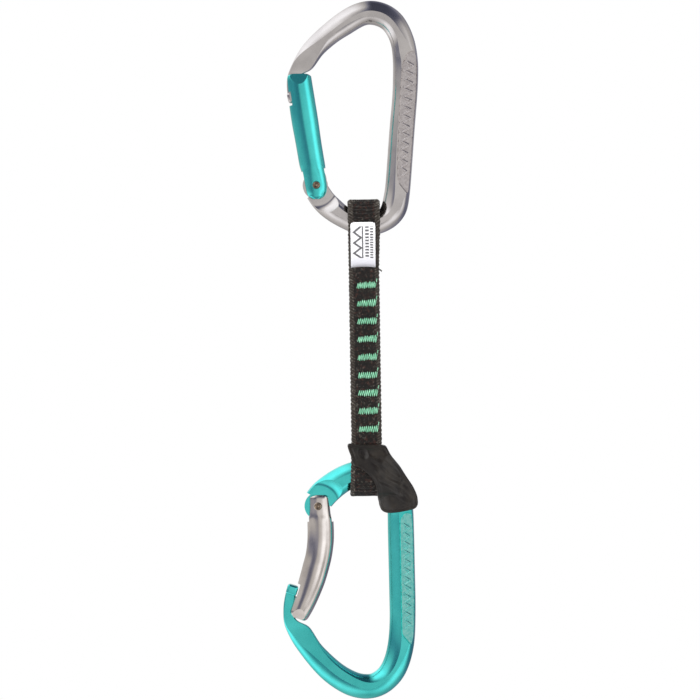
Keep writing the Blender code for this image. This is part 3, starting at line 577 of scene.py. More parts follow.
@dataclass(frozen=True)
class PrintedLabel:
    """White woven ribbon with a plain printed mountain sign and rows of dashes, greyed by painted
    shade towards its bottom end.
    """

    name: str
    cloth: Colour
    ink: Colour
    grey: Colour
    length: float = 19.2
    weave_pitch: float = 0.36
    first: float = 1.7
    last: float = 17.15
    peak_pitch: float = 5.1
    soft: float = 0.14
    # Length of the painted shade at the label's bottom end.
    bottom_shade: float = 4.6

    def _stroke(self, distance: Sock, half: float) -> Sock:
        """Soft-edged line where a distance is under a half width."""
        return abs(distance).ramp(half, half + self.soft, 1.0, 0.0)

    def make(self) -> bpy.types.Material:
        """Build the material.

        Returns:
            The material.
        """
        book = new_book(self.name)
        across, along = book.weave_place()
        turn = math.tau / self.weave_pitch
        weave = ((across * turn).sin() * (along * turn).sin()) * 0.5 + 0.5
        cloud = book.noise(book.place(), 0.35, 3.0)
        inside = (along.ramp(self.first, self.first + 0.15)
                  * along.ramp(self.last - 0.15, self.last, 1.0, 0.0))
        saw = abs((along - self.first).wrap(self.peak_pitch) - self.peak_pitch / 2) * 1.2
        ink = self._stroke(across + 3.9 - saw, 0.62)
        ink = ink.over(self._stroke(across + 0.2, 0.22)) * inside
        for centre, half, pitch, duty in ((1.75, 0.72, 1.55, 0.85), (3.75, 0.6, 1.25, 0.68)):
            beat = along.wrap(pitch).ramp(duty, duty + 0.1, 1.0, 0.0)
            ink = ink.over(self._stroke(across - centre, half) * beat * inside)
        # Painted shade: the cloth greys over the last millimetres towards the bottom end.
        bottom_shade = along.ramp(self.length - self.bottom_shade, self.length, 0.0, 0.75)
        # The grey mask holds weave and random cloud, and the painted shade at the bottom end.
        dull = (weave * 0.22 + cloud.ramp(0.4, 0.8) * 0.2).over(bottom_shade)
        cloth = book.mix(dull, self.cloth, self.grey)
        colour = book.mix(ink * (0.82 + weave * 0.12), cloth, self.ink)
        return book.finish({"Base Color": colour, "Roughness": 0.62 + (cloud - 0.5) * 0.15,
                            "Normal": book.bump(weave, 0.04)})


@dataclass(frozen=True)
class Rubber:
    """Moulded rubber, matt, with a fine skin and rubbed spots."""

    name: str
    colour: Colour
    rubbed: Colour

    def make(self) -> bpy.types.Material:
        """Build the material.

        Returns:
            The material.
        """
        book = new_book(self.name)
        place = book.place()
        cloud = book.noise(place, 0.16, 4.0)
        skin = book.noise(place, 3.2, 4.0, 0.7)
        smear = book.noise(book.stretch(place, (0.5, 0.5, 0.18)), 0.8, 3.0)
        colour = book.mix(cloud.ramp(0.4, 0.75) * 0.7 + smear.ramp(0.55, 0.8) * 0.3,
                          self.colour, self.rubbed)
        rough = 0.36 + (cloud - 0.5) * 0.2 + (skin - 0.5) * 0.12
        return book.finish({"Base Color": colour, "Roughness": rough,
                            "Normal": book.bump(skin * 0.6 + smear * 0.6, 0.05)})


@dataclass(frozen=True)
class Floor:
    """Pale studio floor."""

    name: str

    def make(self) -> bpy.types.Material:
        """Build the material.

        Returns:
            The material.
        """
        book = new_book(self.name)
        cloud = book.noise(book.place(), 0.01, 2.0)
        colour = book.mix(cloud, (0.84, 0.84, 0.84, 1.0), (0.88, 0.88, 0.88, 1.0))
        return book.finish({"Base Color": colour, "Roughness": 0.8})


class Finishes:
    """Every finish of the quickdraw, built once."""

    def __init__(self) -> None:
        """Build the materials."""
        self.polished = Metal("polished_aluminium", rgb(220, 217, 215), rgb(202, 199, 198),
                              0.15).make()
        self.struck = StruckMetal("struck_aluminium", rgb(232, 227, 224), rgb(204, 198, 196),
                                  0.34, 0.016).make()
        self.turquoise = Metal("turquoise_anodised", rgb(88, 236, 231), rgb(74, 222, 218),
                               0.2, 0.002, (1.0, 1.0, 0.12), 0.5).make()
        self.turquoise_struck = StruckMetal("turquoise_struck", rgb(168, 246, 236),
                                            rgb(120, 226, 218), 0.36, 0.016).make()
        self.gate_steel = Metal("polished_gate", rgb(232, 226, 220), rgb(208, 202, 196),
                                0.12, 0.003, (1.0, 1.0, 0.06)).make()
        self.steel = Metal("bright_steel", rgb(190, 172, 150), rgb(120, 106, 90),
                           0.26, 0.01).make()
        self.webbing = Webbing("dark_webbing", rgb(40, 34, 29), rgb(88, 54, 44),
                               rgb(116, 112, 102), rgb(8, 7, 6)).make()
        self.thread = Thread("mint_thread", rgb(188, 252, 216), rgb(84, 172, 128)).make()
        self.dark_thread = Thread("dark_thread", rgb(60, 56, 52), rgb(30, 27, 25)).make()
        # The label's grey also paints the shade at its bottom end.
        self.label = PrintedLabel("white_label", rgb(246, 246, 246), rgb(44, 44, 48),
                                  rgb(214, 214, 222)).make()
        self.rubber = Rubber("dark_rubber", rgb(24, 21, 18), rgb(46, 41, 34)).make()


# ------------------------------------------------------------------ mesh craft


def smooth_rows(rows: Sequence[Row], parts: int) -> list[Row]:
    """Catmull-Rom rows between rows.

    Args:
        rows: the rows to pass through.
        parts: steps in each interval.

    Returns:
        The denser rows.
    """
    last = len(rows) - 1
    result: list[Row] = []
    for i in range(last):
        a, b, c, d = (rows[max(0, min(last, i + k))] for k in (-1, 0, 1, 2))
        for step in range(parts):
            t = step / parts
            result.append(tuple(
                0.5 * (2 * q + (r - p) * t + (2 * p - 5 * q + 4 * r - s) * t * t
                       + (3 * q - p - 3 * r + s) * t ** 3)
                for p, q, r, s in zip(a, b, c, d)))
    result.append(tuple(float(v) for v in rows[last]))
    return result


def fair_rows(rows: Sequence[Row], step: float, passes: int) -> list[Row]:
    """Evenly spaced rows with small bumps smoothed out.

    Args:
        rows: rows whose first four numbers are the outer and inner edge.
        step: spacing in millimetres.
        passes: how often each row is averaged with its neighbours.

    Returns:
        The fair rows.
    """
    dense = np.array(smooth_rows(rows, 16))
    middle = (dense[:, 0:2] + dense[:, 2:4]) / 2
    run = np.concatenate(([0.0], np.cumsum(np.linalg.norm(np.diff(middle, axis=0), axis=1))))
    places = np.linspace(0.0, run[-1], max(4, round(run[-1] / step)))
    even = np.stack([np.interp(places, run, dense[:, k]) for k in range(dense.shape[1])], axis=1)
    for _ in range(passes):
        even[1:-1] = 0.25 * even[:-2] + 0.5 * even[1:-1] + 0.25 * even[2:]
    return [tuple(row) for row in even]


def shifted(rows: Sequence[Row], drop: float) -> list[Row]:
    """Rows with their two heights moved."""
    return [(r[0], r[1] + drop, r[2], r[3] + drop, *r[4:]) for r in rows]


def grown(rows: Sequence[Row], plan: float, depth: float) -> list[Row]:
    """Rows grown in plan and in depth.

    Args:
        rows: the rows.
        plan: growth in plan, in millimetres.
        depth: growth in depth, in millimetres.

    Returns:
        The grown rows.
    """
    result: list[Row] = []
    for ox, oz, ix, iz, half, start, stop in rows:
        out = Vector((ox - ix, oz - iz)).normalized() * plan
        result.append((ox + out.x, oz + out.y, ix - out.x, iz - out.y, half + depth, start, stop))
    return result


def bar_ring(row: Row, steps: int = 12, bend: float = 0.72) -> list[Vector]:
    """Section of a bar, with a crease where each arc meets the flat side.

    Args:
        row: one row of a bar.
        steps: points along each arc.
        bend: share of a quarter turn that an arc makes.

    Returns:
        The section's points in millimetres.
    """
    ox, oz, ix, iz, half, start, stop = row
    full = bend * math.pi / 2
    arc = [((1 - math.cos(full * i / steps)) / (1 - math.cos(full)),
            math.sin(full * i / steps) / math.sin(full)) for i in range(steps + 1)]
    sides = [(start * u, s) for u, s in arc] + [(1 - (1 - stop) * u, s) for u, s in reversed(arc)]
    ring = [(u, -half * s) for u, s in sides] + [(u, half * s) for u, s in reversed(sides[1:-1])]
    return [Vector((ox + (ix - ox) * u, y, oz + (iz - oz) * u)) for u, y in ring]


def gate_ring(row: Row, steps: int = 64) -> list[Vector]:
    """Section of a gate: round for a power of 2, boxier for more.

    Args:
        row: one row of a gate.
        steps: points round the section.

    Returns:
        The section's points in millimetres.
    """
    lx, lz, rx, rz, half, power = row
    ring = []
    for i in range(steps):
        c, s = math.cos(math.tau * i / steps), math.sin(math.tau * i / steps)
        u = 0.5 - 0.5 * math.copysign(abs(c) ** (2 / power), c)
        y = -half * math.copysign(abs(s) ** (2 / power), s)
        ring.append(Vector((lx + (rx - lx) * u, y, lz + (rz - lz) * u)))
    return ring


def taken_mesh(bm: bmesh.types.BMesh, name: str) -> bpy.types.Mesh:
    """Mesh taken over from a builder, which is freed.

    Args:
        bm: the builder.
        name: name of the mesh.

    Returns:
        The mesh.
    """
    mesh = bpy.data.meshes.new(name)
    bm.to_mesh(mesh)
    bm.free()
    return mesh


def mesh_from_rings(name: str, rings: Sequence[Sequence[Vector]]) -> bpy.types.Mesh:
    """Closed mesh through equal rings of points in millimetres.

    Args:
        name: name of the mesh.
        rings: equal rings of points in millimetres.

    Returns:
        The mesh.
    """
    bm = bmesh.new()
    rows = [[bm.verts.new(p * MM) for p in ring] for ring in rings]
    count = len(rings[0])
    for low, high in zip(rows, rows[1:]):
        for i in range(count):
            j = (i + 1) % count
            bm.faces.new((low[i], low[j], high[j], high[i]))
    bm.faces.new(list(reversed(rows[0])))
    bm.faces.new(rows[-1])
    bmesh.ops.recalc_face_normals(bm, faces=bm.faces)
    bmesh.ops.triangulate(bm, faces=[f for f in bm.faces if len(f.verts) == 4])
    return taken_mesh(bm, name)


def outline_mesh(name: str, low: Sequence[Vector], high: Sequence[Vector]) -> bpy.types.Mesh:
    """Closed prism or frustum between two equal outlines."""
    return mesh_from_rings(name, [low, high])


def plan_mesh(name: str, points: Sequence[Point], y0: float, y1: float,
              taper: float = 0.0) -> bpy.types.Mesh:
    """Prism of an XZ outline between two depths, drawn in by a taper at y1.

    Args:
        name: name of the mesh.
        points: the outline in X and Z.
        y0: first depth.
        y1: second depth.
        taper: how far the outline is drawn in at the second depth.

    Returns:
        The mesh.
    """
    inner = inset(points, taper)
    return outline_mesh(name, [Vector((x, y0, z)) for x, z in points],
                        [Vector((x, y1, z)) for x, z in inner])


def inset(points: Sequence[Point], distance: float) -> list[Point]:
    """Outline moved inwards.

    Args:
        points: the outline in X and Z.
        distance: how far; a negative one moves it outwards.

    Returns:
        The moved outline.
    """
    area = sum(a[0] * b[1] - b[0] * a[1] for a, b in zip(points, [*points[1:], points[0]]))
    side = distance if area > 0 else -distance
    result = []
    for i, point in enumerate(points):
        before, after = Vector(points[i - 1]), Vector(points[(i + 1) % len(points)])
        one = (Vector(point) - before).normalized()
        two = (after - Vector(point)).normalized()
        normal = Vector((-one.y - two.y, one.x + two.x)).normalized()
        reach = side / max(0.35, math.sqrt(max(0.0, (1 + one.dot(two)) / 2)))
        result.append((point[0] + normal.x * reach, point[1] + normal.y * reach))
    return result


def rounded(points: Sequence[Point], cut: float, steps: int = 4) -> list[Point]:
    """Outline with its corners rounded by short arcs.

    Args:
        points: the outline in X and Z.
        cut: length taken off each side of a corner.
        steps: pieces of each arc.

    Returns:
        The rounded outline.
    """
    result = []
    for i, point in enumerate(points):
        here = Vector(point)
        before, after = Vector(points[i - 1]), Vector(points[(i + 1) % len(points)])
        a = here + (before - here).normalized() * min(cut, (before - here).length * 0.45)
        b = here + (after - here).normalized() * min(cut, (after - here).length * 0.45)
        for k in range(steps + 1):
            t = k / steps
            p = a * (1 - t) ** 2 + here * (2 * t * (1 - t)) + b * t * t
            result.append((p.x, p.y))
    return result


def round_mesh(name: str, profile: Sequence[Point], axes: Matrix, sides: int = 96
               ) -> bpy.types.Mesh:
    """Closed turned mesh from radius and height pairs, about local Z.

    Args:
        name: name of the mesh.
        profile: radius and height pairs in millimetres.
        axes: the local axes.
        sides: sides of the section.

    Returns:
        The mesh.
    """
    rings = []
    for radius, height in profile:
        rings.append([axes @ (Vector((radius * math.cos(math.tau * i / sides),
                                      radius * math.sin(math.tau * i / sides), height)) * MM) / MM
                      for i in range(sides)])
    return mesh_from_rings(name, rings)


def box_mesh(name: str, low: Sequence[float], high: Sequence[float], axes: Matrix
             ) -> bpy.types.Mesh:
    """Box between two corners, in the given axes.

    Args:
        name: name of the mesh.
        low: lowest corner.
        high: highest corner.
        axes: the local axes.

    Returns:
        The mesh.
    """
    size = [(b - a) * MM for a, b in zip(low, high)]
    centre = Vector([(a + b) / 2 * MM for a, b in zip(low, high)])
    bm = bmesh.new()
    bmesh.ops.create_cube(bm, size=1.0, matrix=axes @ Matrix.Translation(centre)
                          @ Matrix.Diagonal((*size, 1.0)))
    return taken_mesh(bm, name)


def lean_frame(pivot: Point, lean: float) -> Matrix:
    """Axes at a pivot: local Z leans from up towards +X."""
    return (Matrix.Translation(Vector((pivot[0], 0.0, pivot[1])) * MM)
            @ Matrix.Rotation(math.radians(lean), 4, "Y"))


def cross_frame(pivot: Point, side: float = 1.0) -> Matrix:
    """Axes at a pivot with local Z along -Y, or +Y for side -1."""
    return (Matrix.Translation(Vector((pivot[0], 0.0, pivot[1])) * MM)
            @ Matrix.Rotation(side * math.pi / 2, 4, "X"))


def add_piece(name: str, mesh: bpy.types.Mesh, material: bpy.types.Material | None = None
              ) -> bpy.types.Object:
    """Link a mesh as an object, with its material.

    Args:
        name: name of the object.
        mesh: its mesh.
        material: its finish, if it has one.

    Returns:
        The object.
    """
    obj = bpy.data.objects.new(name, mesh)
    bpy.context.scene.collection.objects.link(obj)
    if material:
        mesh.materials.clear()
        mesh.materials.append(material)
    return obj


def bake_modifiers(obj: bpy.types.Object) -> None:
    """Replace an object's mesh with its modified one.

    Args:
        obj: the object.
    """
    bpy.context.view_layer.update()
    shown = obj.evaluated_get(bpy.context.evaluated_depsgraph_get())
    mesh = bpy.data.meshes.new_from_object(shown)
    old = obj.data
    obj.modifiers.clear()
    obj.data = mesh
    bpy.data.meshes.remove(old)


def settle(piece: bpy.types.Object, body: Body, node: str = "") -> bpy.types.Object:
    """Let a piece ride on a body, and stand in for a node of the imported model.

    Args:
        piece: the visible piece.
        body: the moving body that carries it.
        node: the node that it replaces, if any.

    Returns:
        The same piece.
    """
    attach(piece, body.value)
    if node:
        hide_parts(node)
    LOG.info("%s: %d faces", piece.name, len(piece.data.polygons))
    return piece


def carve(obj: bpy.types.Object, steps: Iterable[tuple[Cut, bpy.types.Mesh]]) -> None:
    """Join, take or keep a run of shapes, exactly, and bake the result.

    Args:
        obj: the object that changes.
        steps: what each shape does, in order.
    """
    tools = []
    for kind, mesh in steps:
        tool = add_piece("tool", mesh)
        mod = obj.modifiers.new("cut", "BOOLEAN")
        mod.solver = "EXACT"
        mod.operation = kind.value
        mod.object = tool
        tools.append(tool)
    bake_modifiers(obj)
    for tool in tools:
        mesh = tool.data
        bpy.data.objects.remove(tool, do_unlink=True)
        bpy.data.meshes.remove(mesh)


def weave_quads(bm: bmesh.types.BMesh, layer: bmesh.types.BMLayerItem,
                rows: Sequence[Sequence[bmesh.types.BMVert]],
                marks: Sequence[Sequence[Point]], closed: bool) -> None:
    """Smooth quads between rows, with their places on the strip as UVs.

    Args:
        bm: the mesh that is built.
        layer: its UV layer.
        rows: equal rows of vertices.
        marks: millimetres across and along of each vertex.
        closed: whether each row closes on itself.
    """
    count = len(rows[0])
    for a, b, ma, mb in zip(rows, rows[1:], marks, marks[1:]):
        for k in range(count if closed else count - 1):
            j = (k + 1) % count
            face = bm.faces.new((a[k], a[j], b[j], b[k]))
            face.smooth = True
            for loop, spot in zip(face.loops, (ma[k], ma[j], mb[j], mb[k])):
                loop[layer].uv = (spot[0] / UV_ACROSS, spot[1] / UV_ALONG)


def smooth_share(share: float) -> float:
    """Share eased in and out, held between 0 and 1."""
    share = min(1.0, max(0.0, share))
    return share * share * (3 - 2 * share)


def crisp(obj: bpy.types.Object, angle: float = 11.0, edge: float = 0.0) -> None:
    """Smooth shading with sharp creases, and a fine bevel where wanted.

    Args:
        obj: the object to shade.
        angle: creases sharper than this stay sharp.
        edge: bevel width in millimetres on the sharpest creases.
    """
    bevel_from, weld = 28.0, 2e-6
    mesh = obj.data
    bm = bmesh.new()
    bm.from_mesh(mesh)
    bmesh.ops.remove_doubles(bm, verts=bm.verts, dist=weld)
    bmesh.ops.dissolve_degenerate(bm, edges=bm.edges, dist=weld)
    bm.to_mesh(mesh)
    bm.free()
    if edge:
        bevel = obj.modifiers.new("edge", "BEVEL")
        bevel.width = edge * MM
        bevel.segments = 2
        bevel.limit_method = "ANGLE"
        bevel.angle_limit = math.radians(bevel_from)
        bake_modifiers(obj)
        mesh = obj.data
    mesh.polygons.foreach_set("use_smooth", [True] * len(mesh.polygons))
    mesh.set_sharp_from_angle(angle=math.radians(angle))
    normal = obj.modifiers.new("normals", "WEIGHTED_NORMAL")
    normal.keep_sharp = True
    normal.weight = 80


def tube_mesh(name: str, runs: Sequence[Sequence[Vector]], radius: float, sides: int = 8
              ) -> bpy.types.Mesh:
    """Round threads along runs of points in millimetres.

    Args:
        name: name of the mesh.
        runs: one list of points for each thread.
        radius: thread radius.
        sides: sides of its section.

    Returns:
        One mesh with a closed tube for each run.
    """
    bm = bmesh.new()
    for run in runs:
        rows = []
        for i, point in enumerate(run):
            along = (run[min(i + 1, len(run) - 1)] - run[max(i - 1, 0)]).normalized()
            side = along.cross(Vector((0.31, 0.9, 0.17))).normalized()
            other = along.cross(side)
            rows.append([bm.verts.new((point + radius * (side * math.cos(math.tau * k / sides)
                                                         + other * math.sin(math.tau * k / sides)))
                                      * MM) for k in range(sides)])
        for low, high in zip(rows, rows[1:]):
            for i in range(sides):
                j = (i + 1) % sides
                bm.faces.new((low[i], low[j], high[j], high[i])).smooth = True
        bm.faces.new(list(reversed(rows[0])))
        bm.faces.new(rows[-1])
    bmesh.ops.recalc_face_normals(bm, faces=bm.faces)
    return taken_mesh(bm, name)


# ------------------------------------------------------------------ carabiners


@dataclass(frozen=True)
class Key:
    """Nose head in axes that lean at the gate's pivot."""

    lean: float
    near: float
    outer: float
    inner: float
    slot_inner: float
    half: float = 2.7
    length: float = 4.4
    bevel: float = 1.1


@dataclass
class Carabiner:
    """One carabiner: body, gate, rivet, spring and plunger."""

    side: str
    bar: tuple[Row, ...]
    gate: tuple[Row, ...]
    panel: tuple[Point, ...]
    pivot: Point
    lean: float
    key: Key
    body_part: Body
    gate_part: Body
    plunger_part: Body
    slide: str
    drop: float = 0.0
    bar_half: float = 4.75
    plate_half: float = 1.6
    tang_half: float = 2.1
    panel_depth: float = 0.7
    step_inner: float = 8.6
    step_outer: float = 13.4
    gate_half: float = 4.6
    fork_half: float = 4.35
    fork_floor: float = 6.9
    bore_radius: float = 1.75
    bore_end: float = 24.0
    rivet_radius: float = 1.3
    rivet_head: float = 1.65
    cam_radius: float = 5.0
    cam_rise: float = 1.2
    cam_most: float = 5.9
    cam_slope: float = 0.05
    cam_lead: float = 12.0
    cam_overrun: float = 10.0
    tang_step: float = 3.0
    drill_reach: float = 9.0
    edge_bevel: float = 0.10
    open_angle: float = 30.0
    plunger_tip: float = 5.28
    plunger_radius: float = 1.4
    plunger_length: float = 5.6
    turn_sign: float = 1.0
    facet_slope: float = 22.0
    scoop_power: float = 1.7
    facet_start: float = 4.6
    zigzag: float = 1.9
    relief: float = 0.54
    panel_flare: float = 1.1

    def __post_init__(self) -> None:
        """Move the rows to this carabiner's height."""
        self.bar = tuple(shifted(self.bar, self.drop))
        self.gate = tuple(shifted(self.gate, self.drop))
        self.panel = tuple((x, z + self.drop) for x, z in self.panel)
        self.pivot = (self.pivot[0], self.pivot[1] + self.drop)

    def _cam_reach(self, angle: float) -> float:
        """Reach of the tang's edge at an angle from up towards +X.

        Args:
            angle: degrees from up towards +X.

        Returns:
            Distance from the pivot in millimetres.
        """
        turn = self.turn_sign * (angle - self.lean)
        turn = (turn + 180.0) % 360.0 - 180.0
        rise = self.cam_rise / self.open_angle
        top = self.open_angle + self.cam_overrun
        if -self.cam_lead <= turn <= top:
            return self.cam_radius + rise * turn
        if turn > top:
            return max(self.cam_radius,
                       self.cam_radius + rise * top - self.cam_slope * (turn - top))
        return min(self.cam_most, self.cam_radius - self.cam_lead * rise
                   + self.cam_slope * (-self.cam_lead - turn))

    def _tang(self) -> bpy.types.Mesh:
        """Plate round the rivet.

        Returns:
            The plate.
        """
        points = []
        for i in range(round(360 / self.tang_step)):
            angle = self.tang_step * i
            reach = self._cam_reach(angle)
            points.append((self.pivot[0] + reach * math.sin(math.radians(angle)),
                           self.pivot[1] + reach * math.cos(math.radians(angle))))
        half = self.tang_half + 0.9
        return plan_mesh("tang", points, -half, half)

    def _scoop(self, side: float) -> bpy.types.Mesh:
        """Hollowed ring that clears the gate's fork, on one side of the tang.

        Args:
            side: 1 for the front, -1 for the back.

        Returns:
            The cutter.
        """
        deep = self.bar_half - self.tang_half + 0.06
        wide = self.step_outer - self.step_inner
        shares = [i / 12 for i in range(13)]
        profile = [(self.step_inner + wide * share,
                    self.tang_half + deep * share ** self.scoop_power) for share in shares]
        profile.append((self.step_outer + 0.4, self.bar_half + 3.0))
        return round_mesh("scoop", profile, cross_frame(self.pivot, side), 120)

    def _key_box(self, low: Sequence[float], high: Sequence[float]) -> bpy.types.Mesh:
        """Box in the frame of the nose's key head.

        Args:
            low: one corner.
            high: the opposite corner.

        Returns:
            The box.
        """
        corners = [sorted(pair) for pair in zip(low, high)]
        return box_mesh("key", [c[0] for c in corners], [c[1] for c in corners],
                        lean_frame(self.pivot, self.key.lean))

    def _head(self) -> bpy.types.Mesh:
        """Key head of the nose with rounded edges.

        Returns:
            The head.
        """
        near = self.key.near
        piece = add_piece("head", self._key_box(
            (self.key.outer, -self.key.half, near),
            (self.key.inner, self.key.half, near + self.key.length)))
        bevel = piece.modifiers.new("round", "BEVEL")
        bevel.width = self.key.bevel * MM
        bevel.segments = 5
        bake_modifiers(piece)
        mesh = piece.data
        bpy.data.objects.remove(piece, do_unlink=True)
        return mesh

    def _drill(self, radius: float, low: float, high: float, axes: Matrix) -> bpy.types.Mesh:
        """Round cutter."""
        return round_mesh("drill", [(radius, low), (radius, high)], axes, 48)

    def _rivet_hole(self) -> tuple[Cut, bpy.types.Mesh]:
        """Hole for the rivet, right through."""
        return Cut.TAKE, self._drill(self.rivet_radius + 0.2, -self.drill_reach, self.drill_reach,
                                     cross_frame(self.pivot))

    def build_body(self, metal: bpy.types.Material, struck: bpy.types.Material) -> bpy.types.Object:
        """Bar with tang, nose, scoops and side panels.

        Args:
            metal: finish of the bar.
            struck: duller finish of the panels' floors.

        Returns:
            The body.
        """
        rows = fair_rows(self.bar, 0.9, 7)
        name = f"{self.side}_bar"
        body = add_piece(name, mesh_from_rings(name, [bar_ring(r) for r in rows]), metal)
        floor = self.bar_half - self.panel_depth
        outline = rounded(self.panel, 0.9)
        steps = [(Cut.JOIN, self._tang()), (Cut.JOIN, self._head()),
                 (Cut.TAKE, self._scoop(1.0)), (Cut.TAKE, self._scoop(-1.0)),
                 self._rivet_hole()]
        for sign in (-1.0, 1.0):
            steps.append((Cut.TAKE, self._pocket(outline, sign, floor)))
        carve(body, steps)
        crisp(body, 11.0, self.edge_bevel)
        body.data.materials.append(struck)
        self._paint_panel(body, floor)
        return settle(body, self.body_part, f"{self.side}_body")

    def _pocket(self, outline: Sequence[Point], side: float, floor: float) -> bpy.types.Mesh:
        """Cutter of one side panel, with drafted walls.

        Args:
            outline: the panel's outline.
            side: -1 for the front, 1 for the back.
            floor: depth of the panels' floors.

        Returns:
            The cutter.
        """
        low, high = outline, inset(outline, -self.panel_flare)
        return outline_mesh("pocket", [Vector((x, side * floor, z)) for x, z in low],
                            [Vector((x, side * (floor + 1.6), z)) for x, z in high])

    def _paint_panel(self, body: bpy.types.Object, floor: float) -> None:
        """Give the panel floors the struck finish.

        Args:
            body: the bar.
            floor: depth of the panels' floors.
        """
        for face in body.data.polygons:
            flat = abs(face.normal.y) > 0.999
            if flat and abs(abs(face.center.y) / MM - floor) < 0.02 and face.center.x > 0.008:
                face.material_index = 1

    def build_pattern(self, metal: bpy.types.Material) -> bpy.types.Object:
        """Raised zigzag and studs along both panels, a plain grip pattern.

        Args:
            metal: finish of the relief.

        Returns:
            The relief of both sides.
        """
        floor = self.bar_half - self.panel_depth
        top = max(p[1] for p in self.panel) - 4.5
        bottom = min(p[1] for p in self.panel) + 7.5
        count = 2 * round((top - bottom) / (2 * self.zigzag))
        runs = []
        for side in (-1.0, 1.0):
            corners = []
            for i in range(count + 1):
                z = top + (bottom - top) * i / count
                left, right = self._panel_span(z)
                middle, half = (left + right) / 2, (right - left) / 2 - 1.05
                corners.append(Vector((middle + (half if i % 2 else -half), side * floor, z)))
            for first, (a, b) in enumerate(zip(corners, corners[1:])):
                runs.append([a.lerp(b, t) for t in (0.04, 0.1, 0.3, 0.5, 0.7, 0.9, 0.96)])
                if first % 2:
                    runs.append([a.lerp(b, 0.5) + Vector((0.0, 0.0, lift)) for lift in (1.3, 1.7)])
        name = f"{self.side}_pattern"
        return settle(add_piece(name, tube_mesh(name, runs, self.relief, 8), metal), self.body_part)

    def _panel_span(self, z: float) -> Point:
        """Left and right edge of the panel at a height.

        Args:
            z: height in millimetres.

        Returns:
            X of the left and of the right edge.
        """
        crossings = []
        for a, b in zip(self.panel, [*self.panel[1:], self.panel[0]]):
            if (a[1] - z) * (b[1] - z) <= 0 and a[1] != b[1]:
                crossings.append(a[0] + (b[0] - a[0]) * (z - a[1]) / (b[1] - a[1]))
        return min(crossings), max(crossings)

    def build_gate(self, metal: bpy.types.Material) -> bpy.types.Object:
        """Gate with its fork, key slot, rivet seats and facets.

        Args:
            metal: finish of the gate.

        Returns:
            The gate.
        """
        rows = fair_rows(self.gate[:3], 0.3, 2)[:-1] + fair_rows(self.gate[2:-2], 0.5, 2)
        rows += fair_rows(self.gate[-3:], 0.3, 2)[1:]
        name = f"{self.side}_gate_bar"
        gate = add_piece(name, mesh_from_rings(name, [gate_ring(r) for r in rows]), metal)
        axes = lean_frame(self.pivot, self.lean)
        wide = 3 * self.gate_half
        sign = 1.0 if self.key.inner > self.key.outer else -1.0
        far = self.key.near + self.key.length
        seat = self.fork_half - 1.0
        steps = [
            (Cut.TAKE, box_mesh("fork", (-wide, -self.tang_half - GAP, -wide),
                                (wide, self.tang_half + GAP, self.fork_floor), axes)),
            (Cut.TAKE, self._key_box(
                (-sign * wide, -self.key.half - GAP, self.key.near - 1.2),
                (self.key.inner + sign * 0.4, self.key.half + GAP, far + GAP))),
            (Cut.TAKE, self._key_box(
                (-sign * wide, -self.plate_half - GAP, far),
                (self.key.slot_inner, self.plate_half + GAP, far + 18.0))),
            self._rivet_hole(),
            (Cut.TAKE, self._drill(self.bore_radius, self.fork_floor - 1.0, self.bore_end, axes)),
        ]
        for side in (1.0, -1.0):
            steps.append((Cut.TAKE, self._drill(self.rivet_head + 0.2, seat, self.drill_reach,
                                                cross_frame(self.pivot, side))))
            steps.append((Cut.TAKE, self._facet(side)))
        carve(gate, steps)
        crisp(gate, 14.0, self.edge_bevel)
        return settle(gate, self.gate_part, f"{self.side}_gate")

    def _facet(self, side: float) -> bpy.types.Mesh:
        """Sloping flat that thins the gate's nose end, on one face.

        Args:
            side: 1 for the front, -1 for the back.

        Returns:
            The cutter.
        """
        first, second = self.gate[0], self.gate[3]
        if self.side == "lower":
            first, second = self.gate[-1], self.gate[-4]
        end = Vector(((first[0] + first[2]) / 2, 0.0, (first[1] + first[3]) / 2))
        back = Vector(((second[0] + second[2]) / 2, 0.0, (second[1] + second[3]) / 2)) - end
        angle = math.degrees(math.atan2(back.x, back.z))
        axes = (lean_frame((end.x, end.z), angle)
                @ Matrix.Translation((0.0, -side * self.gate_half * MM, self.facet_start * MM))
                @ Matrix.Rotation(side * math.radians(self.facet_slope), 4, "X"))
        low, high = (-6.0, -6.0, -12.0), (6.0, 0.0, 6.0)
        if side < 0:
            low, high = (-6.0, 0.0, -12.0), (6.0, 6.0, 6.0)
        return box_mesh("facet", low, high, axes)

    def build_rivet(self, metal: bpy.types.Material) -> bpy.types.Object:
        """Rivet with dished heads.

        Args:
            metal: finish of the piece.

        Returns:
            The rivet.
        """
        seat = self.fork_half - 1.0 + 0.2
        top = self.fork_half + 0.25
        profile = [(0.01, top - 0.5), (0.45, top - 0.56), (0.62, top - 0.6), (0.92, top - 0.06),
                   (1.1, top), (1.4, top - 0.08), (self.rivet_head, top - 0.35),
                   (self.rivet_head, seat), (self.rivet_radius, seat)]
        both = profile + [(r, -h) for r, h in reversed(profile)]
        name = f"{self.side}_rivet"
        rivet = add_piece(name, round_mesh(name, both, cross_frame(self.pivot), 48), metal)
        crisp(rivet, 30.0)
        return settle(rivet, self.body_part, f"{self.side}_gate_rivet")

